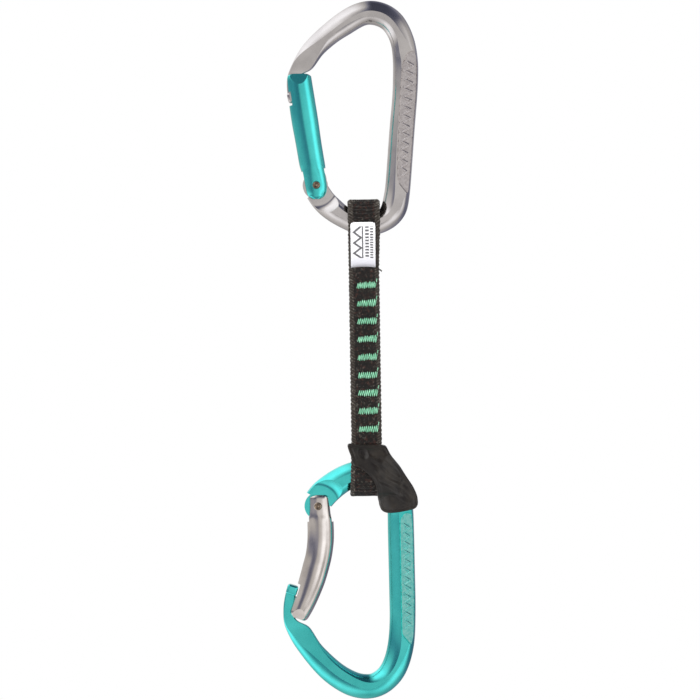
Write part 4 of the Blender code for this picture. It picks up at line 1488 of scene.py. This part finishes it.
    def build_spring(self, metal: bpy.types.Material) -> bpy.types.Object:
        """Return spring, a fixed coil in the gate's bore.

        Args:
            metal: finish of the piece.

        Returns:
            The spring.
        """
        space, radius, per_turn, turns = 0.55, 1.2, 24, 6
        low = self.plunger_tip + self.plunger_length + space
        high = self.bore_end - space
        steps = turns * per_turn
        axes = lean_frame(self.pivot, self.lean)
        run = [axes @ (Vector((radius * math.cos(math.tau * i / per_turn),
                               radius * math.sin(math.tau * i / per_turn),
                               low + (high - low) * i / steps)) * MM) / MM
               for i in range(steps + 1)]
        name = f"{self.side}_spring"
        spring = add_piece(name, tube_mesh(name, [run], 0.25, 10), metal)
        settle(spring, self.gate_part, f"{self.side}_gate_spring")
        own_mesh(spring)
        return spring

    def build_plunger(self, metal: bpy.types.Material) -> bpy.types.Object:
        """Plunger with a round nose and a turned groove.

        Args:
            metal: finish of the piece.

        Returns:
            The plunger.
        """
        tip, r = self.plunger_tip, self.plunger_radius
        turns = [math.radians(a) for a in range(0, 91, 9)]
        profile = [(max(0.01, r * math.sin(a)), tip + r * (1 - math.cos(a))) for a in turns]
        end = tip + self.plunger_length
        profile += [(r, end - 2.2), (r - 0.25, end - 2.0), (r - 0.25, end - 1.4), (r, end - 1.2),
                    (r, end - 0.15), (r - 0.15, end), (0.01, end)]
        name = f"{self.side}_plunger"
        axes = lean_frame(self.pivot, self.lean)
        plunger = add_piece(name, round_mesh(name, profile, axes, 40), metal)
        crisp(plunger, 30.0)
        return settle(plunger, self.plunger_part, f"{self.side}_gate_plunger")


# ----------------------------------------------------------------------- sling


@dataclass
class Sling:
    """The stitched tape with its label and bartacks."""

    centre: float = -3.9
    width: float = 13.3
    thick: float = 1.8
    eye_width: float = 14.0
    eye_shift: float = 0.3
    lower_shift: float = -1.0
    lower_width: float = 12.9
    top_z: float = -87.2
    top_inner: float = 9.1
    throat: float = 17.8
    stitched: float = 75.5
    eye_drop: float = 23.4
    eye_half: float = 6.4
    tacks: int = 9
    tack_first: float = 8.4
    tack_pitch: float = 7.79
    tack_width: float = 8.3
    tack_height: float = 3.0
    tack_shift: float = 1.0
    tack_strokes: int = 19
    press_near: float = 0.9
    press_fade: float = 2.6
    press_half: float = 3.4
    press_side: float = 1.6
    thread: float = 0.15
    rib_bow: float = 0.8
    rib_pitch: float = 1.75
    top_rib: float = 0.8
    low_rib: float = 0.62
    layer_press: float = 0.28
    step: float = 0.36
    columns: int = 44
    puff: float = 0.42
    edge_cord: float = 0.16
    edge_round: float = 0.93
    end_droop: float = 0.7
    end_reach: float = 6.0
    label_left: float = -9.5
    label_right: float = 1.2
    label_corner: float = 1.3
    label_columns: int = 22
    label_thick: float = 0.34

    @property
    def pitch(self) -> float:
        """Distance between the middles of two layers."""
        return self.thick + GAP

    @property
    def throat_z(self) -> float:
        """Height of the top throat."""
        return self.top_z - self.throat

    @property
    def low_z(self) -> float:
        """Height of the lower throat."""
        return self.throat_z - self.stitched

    def tack_heights(self) -> list[float]:
        """Middle height of each bartack."""
        return [self.throat_z - self.tack_first - self.tack_pitch * i for i in range(self.tacks)]

    def top_eye(self) -> list[Point]:
        """Centre line of the top eye, from the back leg to the front leg.

        Returns:
            Points in Y and Z.
        """
        radius = self.top_inner + self.thick / 2
        back, front = (self.pitch, -self.throat), (0.0, -self.throat)
        start = math.atan2(back[1], back[0]) + math.acos(radius / math.hypot(*back))
        stop = math.atan2(front[1], front[0]) - math.acos(radius / math.hypot(*front)) + math.tau
        return [(radius * math.cos(a), self.top_z + radius * math.sin(a))
                for a in np.linspace(start, stop, 60)]

    def lower_eye(self) -> list[Point]:
        """Centre line of the lower eye, from the front leg to the back leg.

        Returns:
            Points in Y and Z.
        """
        half = self.eye_half + self.thick / 2
        drop = self.eye_drop
        side = [(-self.pitch, 0.0), (-self.pitch - 0.9, -3.0), (-half + 1.3, -7.0), (-half, -11.6),
                (-half, 7.0 - drop), (-half + 1.0, 3.1 - drop), (-half / 2, 0.8 - drop),
                (0.0, -drop)]
        mirrored = [(-y, z) for y, z in reversed(side[:-1])]
        return [(y, self.low_z + z) for y, z in smooth_rows(side + mirrored, 8)]

    def path(self) -> np.ndarray:
        """Whole centre line in Y and Z, evenly spaced.

        Returns:
            One point in Y and Z for each step.
        """
        points = [(-self.pitch, self.throat_z - 0.4)] + self.lower_eye()
        points += [(self.pitch, self.throat_z - 0.6)] + self.top_eye()
        points += [(0.0, self.throat_z - 0.3), (0.0, self.low_z + 0.8)]
        line = np.array(points)
        run = np.concatenate(([0.0], np.cumsum(np.linalg.norm(np.diff(line, axis=0), axis=1))))
        places = np.arange(0.0, run[-1], self.step)
        even = np.stack([np.interp(places, run, line[:, k]) for k in (0, 1)], axis=1)
        for _ in range(4):
            even[1:-1] = 0.25 * even[:-2] + 0.5 * even[1:-1] + 0.25 * even[2:]
        return even

    def place(self, z: float) -> Point:
        """Middle and half width of the tape at a height.

        Args:
            z: height in millimetres.

        Returns:
            Middle in X, and half width.
        """
        up = max(0.0, min(1.0, (z - self.throat_z) / self.throat))
        down = max(0.0, min(1.0, (self.low_z - z) / self.eye_drop))
        centre = self.centre + self.eye_shift * up + self.lower_shift * down
        half = (self.width + (self.eye_width - self.width) * up
                + (self.lower_width - self.width) * down) / 2
        return centre, half

    def _press(self, x: float, z: float) -> float:
        """How far the stitching holds the tape down, 0 to 1.

        Args:
            x: place in X.
            z: height in millimetres.

        Returns:
            0 where the tape is free, 1 where it is held.
        """
        if z > self.throat_z - 1.0 or z < self.low_z:
            return 0.0
        near = min(abs(z - t) for t in self.tack_heights())
        side = abs(x - self.centre - self.tack_shift)
        return (smooth_share(1.0 - (near - self.press_near) / self.press_fade)
                * smooth_share(1.0 - (side - self.press_half) / self.press_side))

    def _puff(self, x: float, half: float, z: float, outside: bool) -> float:
        """Height of the outer face over its flat place, in millimetres.

        Args:
            x: place across, from the tape's middle.
            half: half width of the tape there.
            z: height in millimetres.
            outside: whether it is the outer face.

        Returns:
            The height.
        """
        share = abs(x) / half
        rise = self.edge_cord * math.exp(-((share - 0.84) / 0.09) ** 2)
        if outside and self.low_z - 2.0 < z < self.throat_z:
            rise += self.puff * (1 - self._press(x + self.centre, z)) * (1 - share ** 6)
        return rise

    def _ribs(self, z: float, run: float) -> float:
        """Cross ribs where the tape is bent round a bar.

        Args:
            z: height in millimetres.
            run: distance along the tape.

        Returns:
            The ribs' height in millimetres.
        """
        top = max(0.0, min(1.0, (z - self.top_z + 1.0) / 3.0))
        low = max(0.0, min(1.0, (self.low_z - 17.0 - z) / 2.0))
        wave = 0.5 + 0.5 * math.sin(math.tau * run / self.rib_pitch)
        return (self.top_rib * top + self.low_rib * low) * (wave ** 0.8 - 0.55)

    def build_tape(self, cloth: bpy.types.Material) -> bpy.types.Object:
        """One long strip, with faces, corded edges and ribs.

        Args:
            cloth: woven finish.

        Returns:
            The tape.
        """
        path = self.path()
        bm = bmesh.new()
        layer = bm.loops.layers.uv.new("strip")
        rings: list[list[bmesh.types.BMVert]] = []
        marks: list[list[Point]] = []
        for i, (y, z) in enumerate(path):
            ahead = path[min(i + 1, len(path) - 1)] - path[max(i - 1, 0)]
            ahead = ahead / np.linalg.norm(ahead)
            out = np.array((ahead[1], -ahead[0]))
            ring, mark = self._ring(bm, (y, z), out, i * self.step)
            rings.append(ring)
            marks.append(mark)
        weave_quads(bm, layer, rings, marks, closed=True)
        for ring in (rings[0], rings[-1]):
            face = bm.faces.new(ring)
            for loop in face.loops:
                loop[layer].uv = (0.0, 0.0)
        bmesh.ops.recalc_face_normals(bm, faces=bm.faces)
        tape = add_piece("tape", taken_mesh(bm, "tape"), cloth)
        return settle(tape, Body.SLING, "sling_tape")

    def _ring(self, bm: bmesh.types.BMesh, at: Point, out: np.ndarray, run: float
              ) -> tuple[list[bmesh.types.BMVert], list[Point]]:
        """One section across the tape: outer face, edge, inner face, edge.

        Args:
            bm: the mesh that is built.
            at: middle of the section in Y and Z.
            out: direction of the outer face in Y and Z.
            run: distance along the tape.

        Returns:
            The section's vertices, and the place of each across and along the tape.
        """
        y, z = at
        centre, half = self.place(z)
        scallop = 0.13 * math.sin(math.tau * run / 1.9) + 0.06 * math.sin(math.tau * run / 7.3)
        half = half + scallop - 0.1
        first = self._end_droop(run)
        sewn = self.layer_press if self.low_z + 0.4 < z < self.throat_z - 0.4 else 0.0
        ring, mark = [], []
        for face in (1.0, -1.0):
            outside = face > 0
            for k in range(self.columns + 1):
                share = -1 + 2 * k / self.columns
                share = math.copysign(1 - (1 - abs(share)) ** 1.15, share)
                x = share * half * face
                droop = first * (x / half) ** 2
                ribs = self._ribs(z, run + self.rib_bow * share * share)
                rise = self._puff(x, half, z, outside) + ribs * (1 - abs(share) ** 8)
                turn = max(0.0, (abs(share) - self.edge_round) / 0.07)
                rim = math.sqrt(max(0.0, 1 - turn ** 2))
                height = face * (self.thick / 2 - 0.05 + (rise if outside else 0.2 * rise + sewn))
                height *= 0.25 + 0.75 * (rim if outside or not sewn else rim ** 0.3)
                ring.append(bm.verts.new(Vector((centre + x, y + out[0] * height,
                                                 z + out[1] * height - droop)) * MM))
                mark.append((x, run))
        return ring, mark

    def _end_droop(self, run: float) -> float:
        """How much the tape's cut end droops at its corners."""
        return max(0.0, self.end_droop * (1 - run / self.end_reach))

    def build_label(self, cloth: bpy.types.Material) -> bpy.types.Object:
        """Label laid over the front of the top eye.

        Args:
            cloth: woven finish.

        Returns:
            The label.
        """
        rows = self._label_run()
        total = rows[-1][1]
        left, right = self.label_left, self.label_right
        bm = bmesh.new()
        layer = bm.loops.layers.uv.new("strip")
        grid, marks = [], []
        corner = self.label_corner
        for spot, run in rows:
            pull = corner - math.sqrt(max(0.0, corner ** 2 - (corner - min(run, corner)) ** 2))
            line_row, mark_row = [], []
            for k in range(self.label_columns + 1):
                share = k / self.label_columns
                x = left + pull + (right - left - 2 * pull) * share
                sag = 0.35 * (2 * share - 1) ** 2 * min(1.0, run / total)
                line_row.append(bm.verts.new(Vector((x, spot.x, spot.y - sag)) * MM))
                mark_row.append((x - (left + right) / 2, run))
            grid.append(line_row)
            marks.append(mark_row)
        weave_quads(bm, layer, grid, marks, closed=False)
        label = add_piece("label", taken_mesh(bm, "label"), cloth)
        solid = label.modifiers.new("thickness", "SOLIDIFY")
        solid.thickness = self.label_thick * MM
        solid.offset = 0.0
        return settle(label, Body.SLING, "sling_label")

    def _label_run(self) -> list[tuple[Vector, float]]:
        """Places down the label in Y and Z, each with its distance from the top end.

        Returns:
            The places and their distances.
        """
        path = self.path()
        dense = [p for p in path[len(path) // 2:]
                 if p[0] < -0.02 and self.throat_z < p[1] < self.top_z + 1.0]
        lift = self.thick / 2 + 0.42
        rows: list[tuple[Vector, float]] = []
        for i, (y, z) in enumerate(dense):
            ahead = (Vector(dense[min(len(dense) - 1, i + 1)])
                     - Vector(dense[max(0, i - 1)])).normalized()
            spot = Vector((y + ahead.y * lift, z - ahead.x * lift))
            rows.append((spot, rows[-1][1] + (spot - rows[-1][0]).length if rows else 0.0))
        return rows

    def build_tacks(self, thread: bpy.types.Material) -> list[bpy.types.Object]:
        """Zigzag bartacks on both faces.

        Args:
            thread: the thread's finish.

        Returns:
            The nine tacks.
        """
        pieces = []
        rng = np.random.default_rng(7)
        for i, z in enumerate(self.tack_heights()):
            runs = []
            for side in (-1.0, 1.0):
                runs.append(self._zigzag(rng, z, side))
            name = f"tack_{i + 1}"
            piece = add_piece(name, tube_mesh(name, runs, self.thread, 8), thread)
            pieces.append(settle(piece, Body.SLING, f"bartack_{i + 1}"))
        return pieces

    def _face_y(self) -> float:
        """Depth at which the stitching lies on the outer layers."""
        return 1.5 * self.thick + GAP + 0.16

    def _zigzag(self, rng: np.random.Generator, z: float, side: float) -> list[Vector]:
        """Uneven zigzag of one tack on one face, rising to the right.

        Args:
            rng: source of the small differences.
            z: middle height of the tack.
            side: -1 for the front, 1 for the back.

        Returns:
            The thread's points, with a loose last stroke.
        """
        strokes = self.tack_strokes
        left = self.centre + self.tack_shift - self.tack_width / 2
        corners = []
        for k in range(strokes + 1):
            share = k / strokes
            x = (left + self.tack_width * share + rng.normal(0.0, 0.06)
                 + (0.14 if k % 2 else -0.14))
            tall = self.tack_height / 2 * (0.6 + 0.3 * share + 0.38 * rng.random())
            lean = 0.35 * (share - 0.5)
            corners.append(Vector((x, 0.0, z + lean + (tall if k % 2 else -tall))))
        corners.append(corners[-1] + Vector((0.25, 0.0, self.tack_height * 0.45)))
        run = []
        for k, (a, b) in enumerate(zip(corners, corners[1:])):
            for step in range(7):
                t = step / 7
                point = a.lerp(b, t)
                arch = math.sin(math.pi * t)
                lift = 0.4 if k == strokes else 0.3 * arch ** 0.5
                point.y = side * (self._face_y() - 0.3 + lift + 0.1 * (k % 3) * arch ** 0.5)
                run.append(point)
        return run

    def build_tails(self, thread: bpy.types.Material) -> bpy.types.Object:
        """Loose fibres at the tape's cut end.

        Args:
            thread: the thread's finish.

        Returns:
            The fibres.
        """
        rng = np.random.default_rng(3)
        runs = []
        edge = self.centre + self.width / 2
        for k in range(5):
            start = Vector((edge - 0.5, -self.pitch - 0.5 + 0.25 * k,
                            self.throat_z - 1.4 - 0.12 * k))
            aim = Vector((1.5 + 0.3 * rng.random(), -0.2 + 0.3 * rng.random(),
                          -0.5 - 0.5 * rng.random()))
            runs.append([start + aim * t + Vector((0.0, 0.0, 0.25 * math.sin(3 * t)))
                         for t in np.linspace(0.0, 1.0, 7)])
        tails = add_piece("tape_tails", tube_mesh("tape_tails", runs, 0.09, 6), thread)
        return settle(tails, Body.SLING)


# ---------------------------------------------------------------------- keeper


@dataclass
class Keeper:
    """Rubber sleeve that holds the lower carabiner in the lower eye."""

    rows: tuple[Row, ...]
    crown: float
    sling: Sling
    wall: float = 1.5
    skirt: float = 3.6
    left: float = -11.4
    voxel: float = 0.34
    first_row: int = 4
    stop_row: int = 15
    blend_top: float = 14.0
    blend_low: float = 7.0

    def _shell(self, grow: float) -> list[Point]:
        """Outline in Y and Z of the tape's lower end, grown.

        Args:
            grow: distance from the tape's centre line.

        Returns:
            The outline.
        """
        path = [Vector(p) for p in self.sling.lower_eye()]
        above = self.crown + 24.0
        ring = []
        for i, point in enumerate(path):
            ahead = (path[min(i + 1, len(path) - 1)] - path[max(i - 1, 0)]).normalized()
            ring.append((point.x + ahead.y * grow, point.y - ahead.x * grow))
        return [(ring[0][0], above)] + ring + [(ring[-1][0], above)]

    def _side_mesh(self, points: Sequence[Point], x0: float, x1: float) -> bpy.types.Mesh:
        """Prism of a YZ outline between two X places."""
        return outline_mesh("side", [Vector((x0, y, z)) for y, z in points],
                            [Vector((x1, y, z)) for y, z in points])

    def _taper(self) -> bpy.types.Mesh:
        """Block whose depth falls from the eye to the spine.

        Returns:
            The block.
        """
        plan = [(-15.0, 11.2), (-2.0, 11.0), (3.0, 9.6), (9.0, 7.2), (13.0, 6.7), (20.0, 6.5)]
        ring = [(x, -y) for x, y in plan] + [(x, y) for x, y in reversed(plan)]
        low, high = self.crown - 15.0, self.crown + 19.0
        return outline_mesh("taper", [Vector((x, y, low)) for x, y in ring],
                            [Vector((x, y, high)) for x, y in ring])

    def build(self, rubber: bpy.types.Material) -> bpy.types.Object:
        """Shape, soften and mark the sleeve.

        Args:
            rubber: moulded finish.

        Returns:
            The keeper.
        """
        outline = [(x, z + self.crown) for x, z in rounded(KEEPER_OUTLINE, 1.2)]
        base = self.sling.thick / 2 + GAP
        keeper = add_piece("keeper", self._side_mesh(self._shell(base + self.wall), -26.0, 11.0),
                           rubber)
        corner = self.rows[self.first_row:self.stop_row]
        right = self.sling.centre + self.sling.width / 2 + GAP

        def bar(plan: float, depth: float) -> bpy.types.Mesh:
            """The bar's corner, grown."""
            return mesh_from_rings("bar", [bar_ring(r, 8, 0.9)
                                           for r in fair_rows(grown(corner, plan, depth), 1.2, 2)])

        carve(keeper, [(Cut.JOIN, bar(self.skirt, GAP + self.wall)),
                       (Cut.KEEP, self._taper()),
                       (Cut.KEEP, plan_mesh("outline", outline, -15.0, 15.0)),
                       (Cut.TAKE, self._side_mesh(self._shell(base), self.left, right)),
                       (Cut.TAKE, bar(GAP, GAP))])
        remesh = keeper.modifiers.new("remesh", "REMESH")
        remesh.mode = "VOXEL"
        remesh.voxel_size = self.voxel * MM
        smooth = keeper.modifiers.new("smooth", "SMOOTH")
        smooth.factor = 0.5
        smooth.iterations = 6
        bake_modifiers(keeper)
        self._mark(keeper)
        keeper.data.materials.clear()
        keeper.data.materials.append(rubber)
        keeper.data.polygons.foreach_set("use_smooth", [True] * len(keeper.data.polygons))
        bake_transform(keeper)
        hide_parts("rubber_keeper")
        LOG.info("keeper: %d faces", len(keeper.data.polygons))
        return keeper

    def _edge_distance(self, x: np.ndarray, z: np.ndarray) -> np.ndarray:
        """Distance of points from the sleeve's outline.

        Args:
            x: places in X.
            z: heights from the bar's crown.

        Returns:
            The distances in millimetres.
        """
        best = np.full(len(x), 99.0)
        for (ax, az), (bx, bz) in zip(KEEPER_OUTLINE, [*KEEPER_OUTLINE[1:], KEEPER_OUTLINE[0]]):
            run, rise = bx - ax, bz - az
            t = np.clip(((x - ax) * run + (z - az) * rise) / (run * run + rise * rise), 0.0, 1.0)
            best = np.minimum(best, np.hypot(x - ax - run * t, z - az - rise * t))
        return best

    def _mark(self, keeper: bpy.types.Object) -> None:
        """Press the moulded relief into the two faces.

        Args:
            keeper: the sleeve.
        """
        mesh = keeper.data
        co, normal = (np.empty(len(mesh.vertices) * 3) for _ in range(2))
        mesh.vertices.foreach_get("co", co)
        mesh.vertices.foreach_get("normal", normal)
        co, normal = co.reshape(-1, 3), normal.reshape(-1, 3)
        x = co[:, 0] / MM
        z = co[:, 2] / MM - self.crown
        face = np.clip(np.abs(normal[:, 1]) * 1.6 - 0.6, 0.0, 1.0)
        across, up = (x + 5.4) + 0.35 * (z - 13.4), (z - 13.4) - 0.25 * (x + 5.4)
        oval = np.sqrt((across / 1.5) ** 2 + (up / 2.1) ** 2)
        depth = -0.8 * np.clip(1.6 - oval, 0.0, 1.0) + 0.3 * np.exp(-((oval - 1.35) / 0.3) ** 2)
        for k in range(6):
            line = (x + 3.0) * 0.72 + (z - 12.0) + 2.1 * (k - 1) - 0.5 * np.sin(0.5 * x + k)
            reach = np.clip((x + 4.5 - 0.9 * k) / 2.0, 0, 1) * np.clip((15.0 - x) / 3.0, 0, 1)
            depth += (0.45 if k % 2 else -0.45) * np.exp(-(line / 0.6) ** 2) * reach
        rim = self._edge_distance(x, z)
        depth *= np.clip(rim - 1.6, 0.0, 1.0)
        depth -= 0.3 * np.exp(-((rim - 1.35) / 0.4) ** 2)
        co += normal * (depth * face * MM)[:, None]
        mesh.vertices.foreach_set("co", co.reshape(-1))
        mesh.update()


# ----------------------------------------------------------------------- stage


@dataclass
class Stage:
    """Floor, lights, camera and surround.

    The surround is one row for each direction square to the view, from the right
    and on anticlockwise. Its pairs are the angle from the camera's side, in
    degrees, and the tone that polished metal shows there.
    """

    target: Triple = (-10.5, 0.0, -141.4)
    view_height: float = 304.3
    lens: float = 135.0
    sensor: float = 36.0
    roll: float = 0.9
    floor_z: float = -480.0
    floor_radius: float = 0.5
    strength: float = 1.3
    front_tone: float = 0.53
    surround: tuple[tuple[Point, ...], ...] = (
        ((8, .55), (16, .9), (32, .95), (58, .95), (75, .34), (100, .2), (140, .2), (180, .4)),
        ((16, .5), (34, .35), (46, .95), (66, .95), (84, .5), (110, .35), (140, .2), (180, .3)),
        ((22, .3), (34, .12), (56, .08), (84, .14), (110, .3), (140, .2), (180, .3)),
        ((22, .3), (38, .05), (95, .05), (120, .16), (150, .25), (180, .5)),
        ((22, .3), (38, .03), (95, .03), (130, .12), (160, .3), (180, .6)),
        ((22, .3), (34, .12), (48, .5), (62, 1), (90, .9), (130, .7), (160, .6), (180, .6)),
        ((14, .3), (28, .1), (42, .9), (60, 1), (100, .95), (130, .9), (180, .7)),
        ((8, .4), (14, .1), (30, .06), (40, .25), (50, .55), (60, .6), (130, .6), (180, .5)),
        ((9, .36), (18, .2), (30, .17), (44, .13), (62, .13), (85, .15), (105, .2), (130, .3),
         (180, .35)),
        ((9, .4), (18, .32), (30, .45), (44, .8), (62, 1), (110, 1), (140, .6), (180, .5)),
        ((20, .3), (34, .08), (50, .7), (64, .95), (84, .6), (120, .4), (150, .3), (180, .4)),
        ((24, .3), (38, .12), (52, .7), (66, .6), (96, .4), (150, .3), (180, .4)),
        ((26, .3), (42, .2), (52, .6), (62, .5), (76, .3), (105, .4), (150, .25), (180, .4)),
        ((26, .3), (42, .2), (54, .7), (66, .6), (90, .35), (150, .2), (180, .4)),
        ((22, .5), (34, .2), (50, .95), (64, .8), (80, .34), (110, .25), (150, .2), (180, .3)),
        ((10, .7), (20, 1), (34, 1), (44, .35), (56, .3), (66, .85), (80, .55), (96, .15),
         (150, .12), (180, .3)),
    )
    tints: tuple[tuple[float, Triple], ...] = (
        (0.0, (0.02, 0.022, 0.035)), (0.12, (0.10, 0.105, 0.15)), (0.22, (0.20, 0.20, 0.25)),
        (0.36, (0.39, 0.375, 0.366)), (0.6, (0.62, 0.60, 0.60)), (1.0, (1.0, 1.0, 1.03)))
    lights: tuple[tuple[str, Triple, float, float, float], ...] = (
        ("key", (-0.55, -0.75, 0.45), 0.55, 0.80, 9.0),
        ("fill", (0.75, -0.60, -0.05), 0.40, 0.90, 4.0),
        ("top", (0.05, 0.10, 0.75), 0.70, 0.50, 6.0),
        ("low", (-0.10, -0.45, -0.95), 0.60, 0.40, 2.5),
    )

    def build_camera(self) -> bpy.types.Object:
        """Long-lens camera square to the quickdraw.

        Returns:
            The camera.
        """
        data = bpy.data.cameras.new("camera")
        data.lens = self.lens
        data.sensor_width = self.sensor
        data.sensor_fit = "HORIZONTAL"
        data.clip_start = 0.01
        data.clip_end = 20.0
        camera = bpy.data.objects.new("camera", data)
        bpy.context.scene.collection.objects.link(camera)
        distance = self.view_height * self.lens / self.sensor
        c, s = math.cos(math.radians(self.roll)), math.sin(math.radians(self.roll))
        x, z = self.target[0], self.target[2]
        camera.matrix_world = Matrix(((c, s, 0.0, x * MM), (0.0, 0.0, -1.0, -distance * MM),
                                      (-s, c, 0.0, z * MM), (0.0, 0.0, 0.0, 1.0)))
        bpy.context.scene.camera = camera
        return camera

    def build_lights(self) -> None:
        """Soft panels round the quickdraw."""
        for name, at, wide, tall, power in self.lights:
            data = bpy.data.lights.new(name, "AREA")
            data.shape = "RECTANGLE"
            data.size = wide
            data.size_y = tall
            data.energy = power
            light = bpy.data.objects.new(name, data)
            bpy.context.scene.collection.objects.link(light)
            centre = Vector((self.target[0], 0.0, self.target[2])) * MM
            spot = centre + Vector(at)
            light.location = spot
            light.rotation_euler = (centre - spot).to_track_quat("-Z", "Y").to_euler()
            light.visible_glossy = False

    def build_world(self) -> None:
        """White surround, and round it the panels and dark gaps that polished metal shows."""
        bpy.context.scene.view_settings.view_transform = "Standard"
        world = bpy.data.worlds.new("studio")
        bpy.context.scene.world = world
        book = NodeBook(world, "ShaderNodeOutputWorld")
        x, y, z = book.axes(book.out(book.add("ShaderNodeTexCoord"), "Generated"))
        reach = (x * x + z * z + 1e-9) ** 0.5
        back = (y * -1.0).arccos() / math.pi
        light: Sock | float = 0.0
        step = math.tau / len(self.surround)
        for number, tones in enumerate(self.surround):
            turn = step * number
            along = (x * math.cos(turn) + z * math.sin(turn)) / reach
            away = along.under(1.0).over(-1.0).arccos()
            share = (1 - away / step).over(0.0)
            stops = [(angle / 180, (tone, tone, tone))
                     for angle, tone in ((0, self.front_tone), *tones)]
            curve = book.add("ShaderNodeValToRGB", {"stops": stops}, {0: back})
            light = share * book.out(curve) + light
        tint = book.add("ShaderNodeValToRGB", {"stops": self.tints}, {0: light})
        glow = book.add("ShaderNodeBackground", None, {0: book.out(tint), 1: self.strength})
        plain = book.add("ShaderNodeBackground", None, {0: (1.0, 1.0, 1.0, 1.0), 1: 1.0})
        path = book.add("ShaderNodeLightPath")
        both = book.add("ShaderNodeMixShader", None, {0: book.out(path, "Is Camera Ray"),
                                                      1: book.out(glow), 2: book.out(plain)})
        book.tree.links.new(both.outputs[0], book.end.inputs[0])

    def build_floor(self) -> bpy.types.Object:
        """Round pale floor under the quickdraw.

        Returns:
            The floor.
        """
        bm = bmesh.new()
        bmesh.ops.create_circle(bm, cap_ends=True, segments=96, radius=self.floor_radius)
        floor = add_piece("floor", taken_mesh(bm, "floor"), Floor("pale_floor").make())
        floor.location = (self.target[0] * MM, 0.0, self.floor_z * MM)
        floor.visible_glossy = False
        return floor


def make_carabiners(looks: Finishes, crown: float) -> list[Carabiner]:
    """Build both carabiners.

    Args:
        looks: the finishes.
        crown: height of the lower bar's inner crown.

    Returns:
        The two carabiners.
    """
    upper = Carabiner("upper", UPPER_BAR, UPPER_GATE, UPPER_PANEL, (-24.0, -69.7), -8.15,
                      Key(-12.9, 37.4, -3.1, 2.2, 5.6),
                      Body.UPPER, Body.UPPER_GATE, Body.UPPER_PLUNGER, "upper_plunger_slide")
    lower = Carabiner("lower", LOWER_BAR, LOWER_GATE, LOWER_PANEL, (-25.4, -9.4), 180.0,
                      Key(198.1, 36.0, 2.4, -2.4, -5.5),
                      Body.LOWER, Body.LOWER_GATE, Body.LOWER_PLUNGER, "lower_plunger_slide",
                      drop=crown, turn_sign=-1.0)
    for maker, metal, struck, gate in (
            (upper, looks.polished, looks.struck, looks.turquoise),
            (lower, looks.turquoise, looks.turquoise_struck, looks.gate_steel)):
        maker.build_body(metal, struck)
        maker.build_pattern(struck)
        maker.build_gate(gate)
        maker.build_rivet(looks.steel)
        maker.build_spring(looks.steel)
        maker.build_plunger(looks.steel)
    return [upper, lower]


def main() -> None:
    """Build the stage and every piece of the quickdraw."""
    logging.basicConfig(level=logging.INFO, format="%(message)s")
    stage = Stage()
    stage.build_camera()
    stage.build_lights()
    stage.build_world()
    stage.build_floor()
    looks = Finishes()
    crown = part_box("lower_body")[1][2] / MM - CROWN_THICK
    lower = make_carabiners(looks, crown)[1]
    sling = Sling()
    sling.build_tape(looks.webbing)
    sling.build_label(looks.label)
    sling.build_tacks(looks.thread)
    sling.build_tails(looks.dark_thread)
    Keeper(lower.bar, crown, sling).build(looks.rubber)


if __name__ == "__main__":
    main()
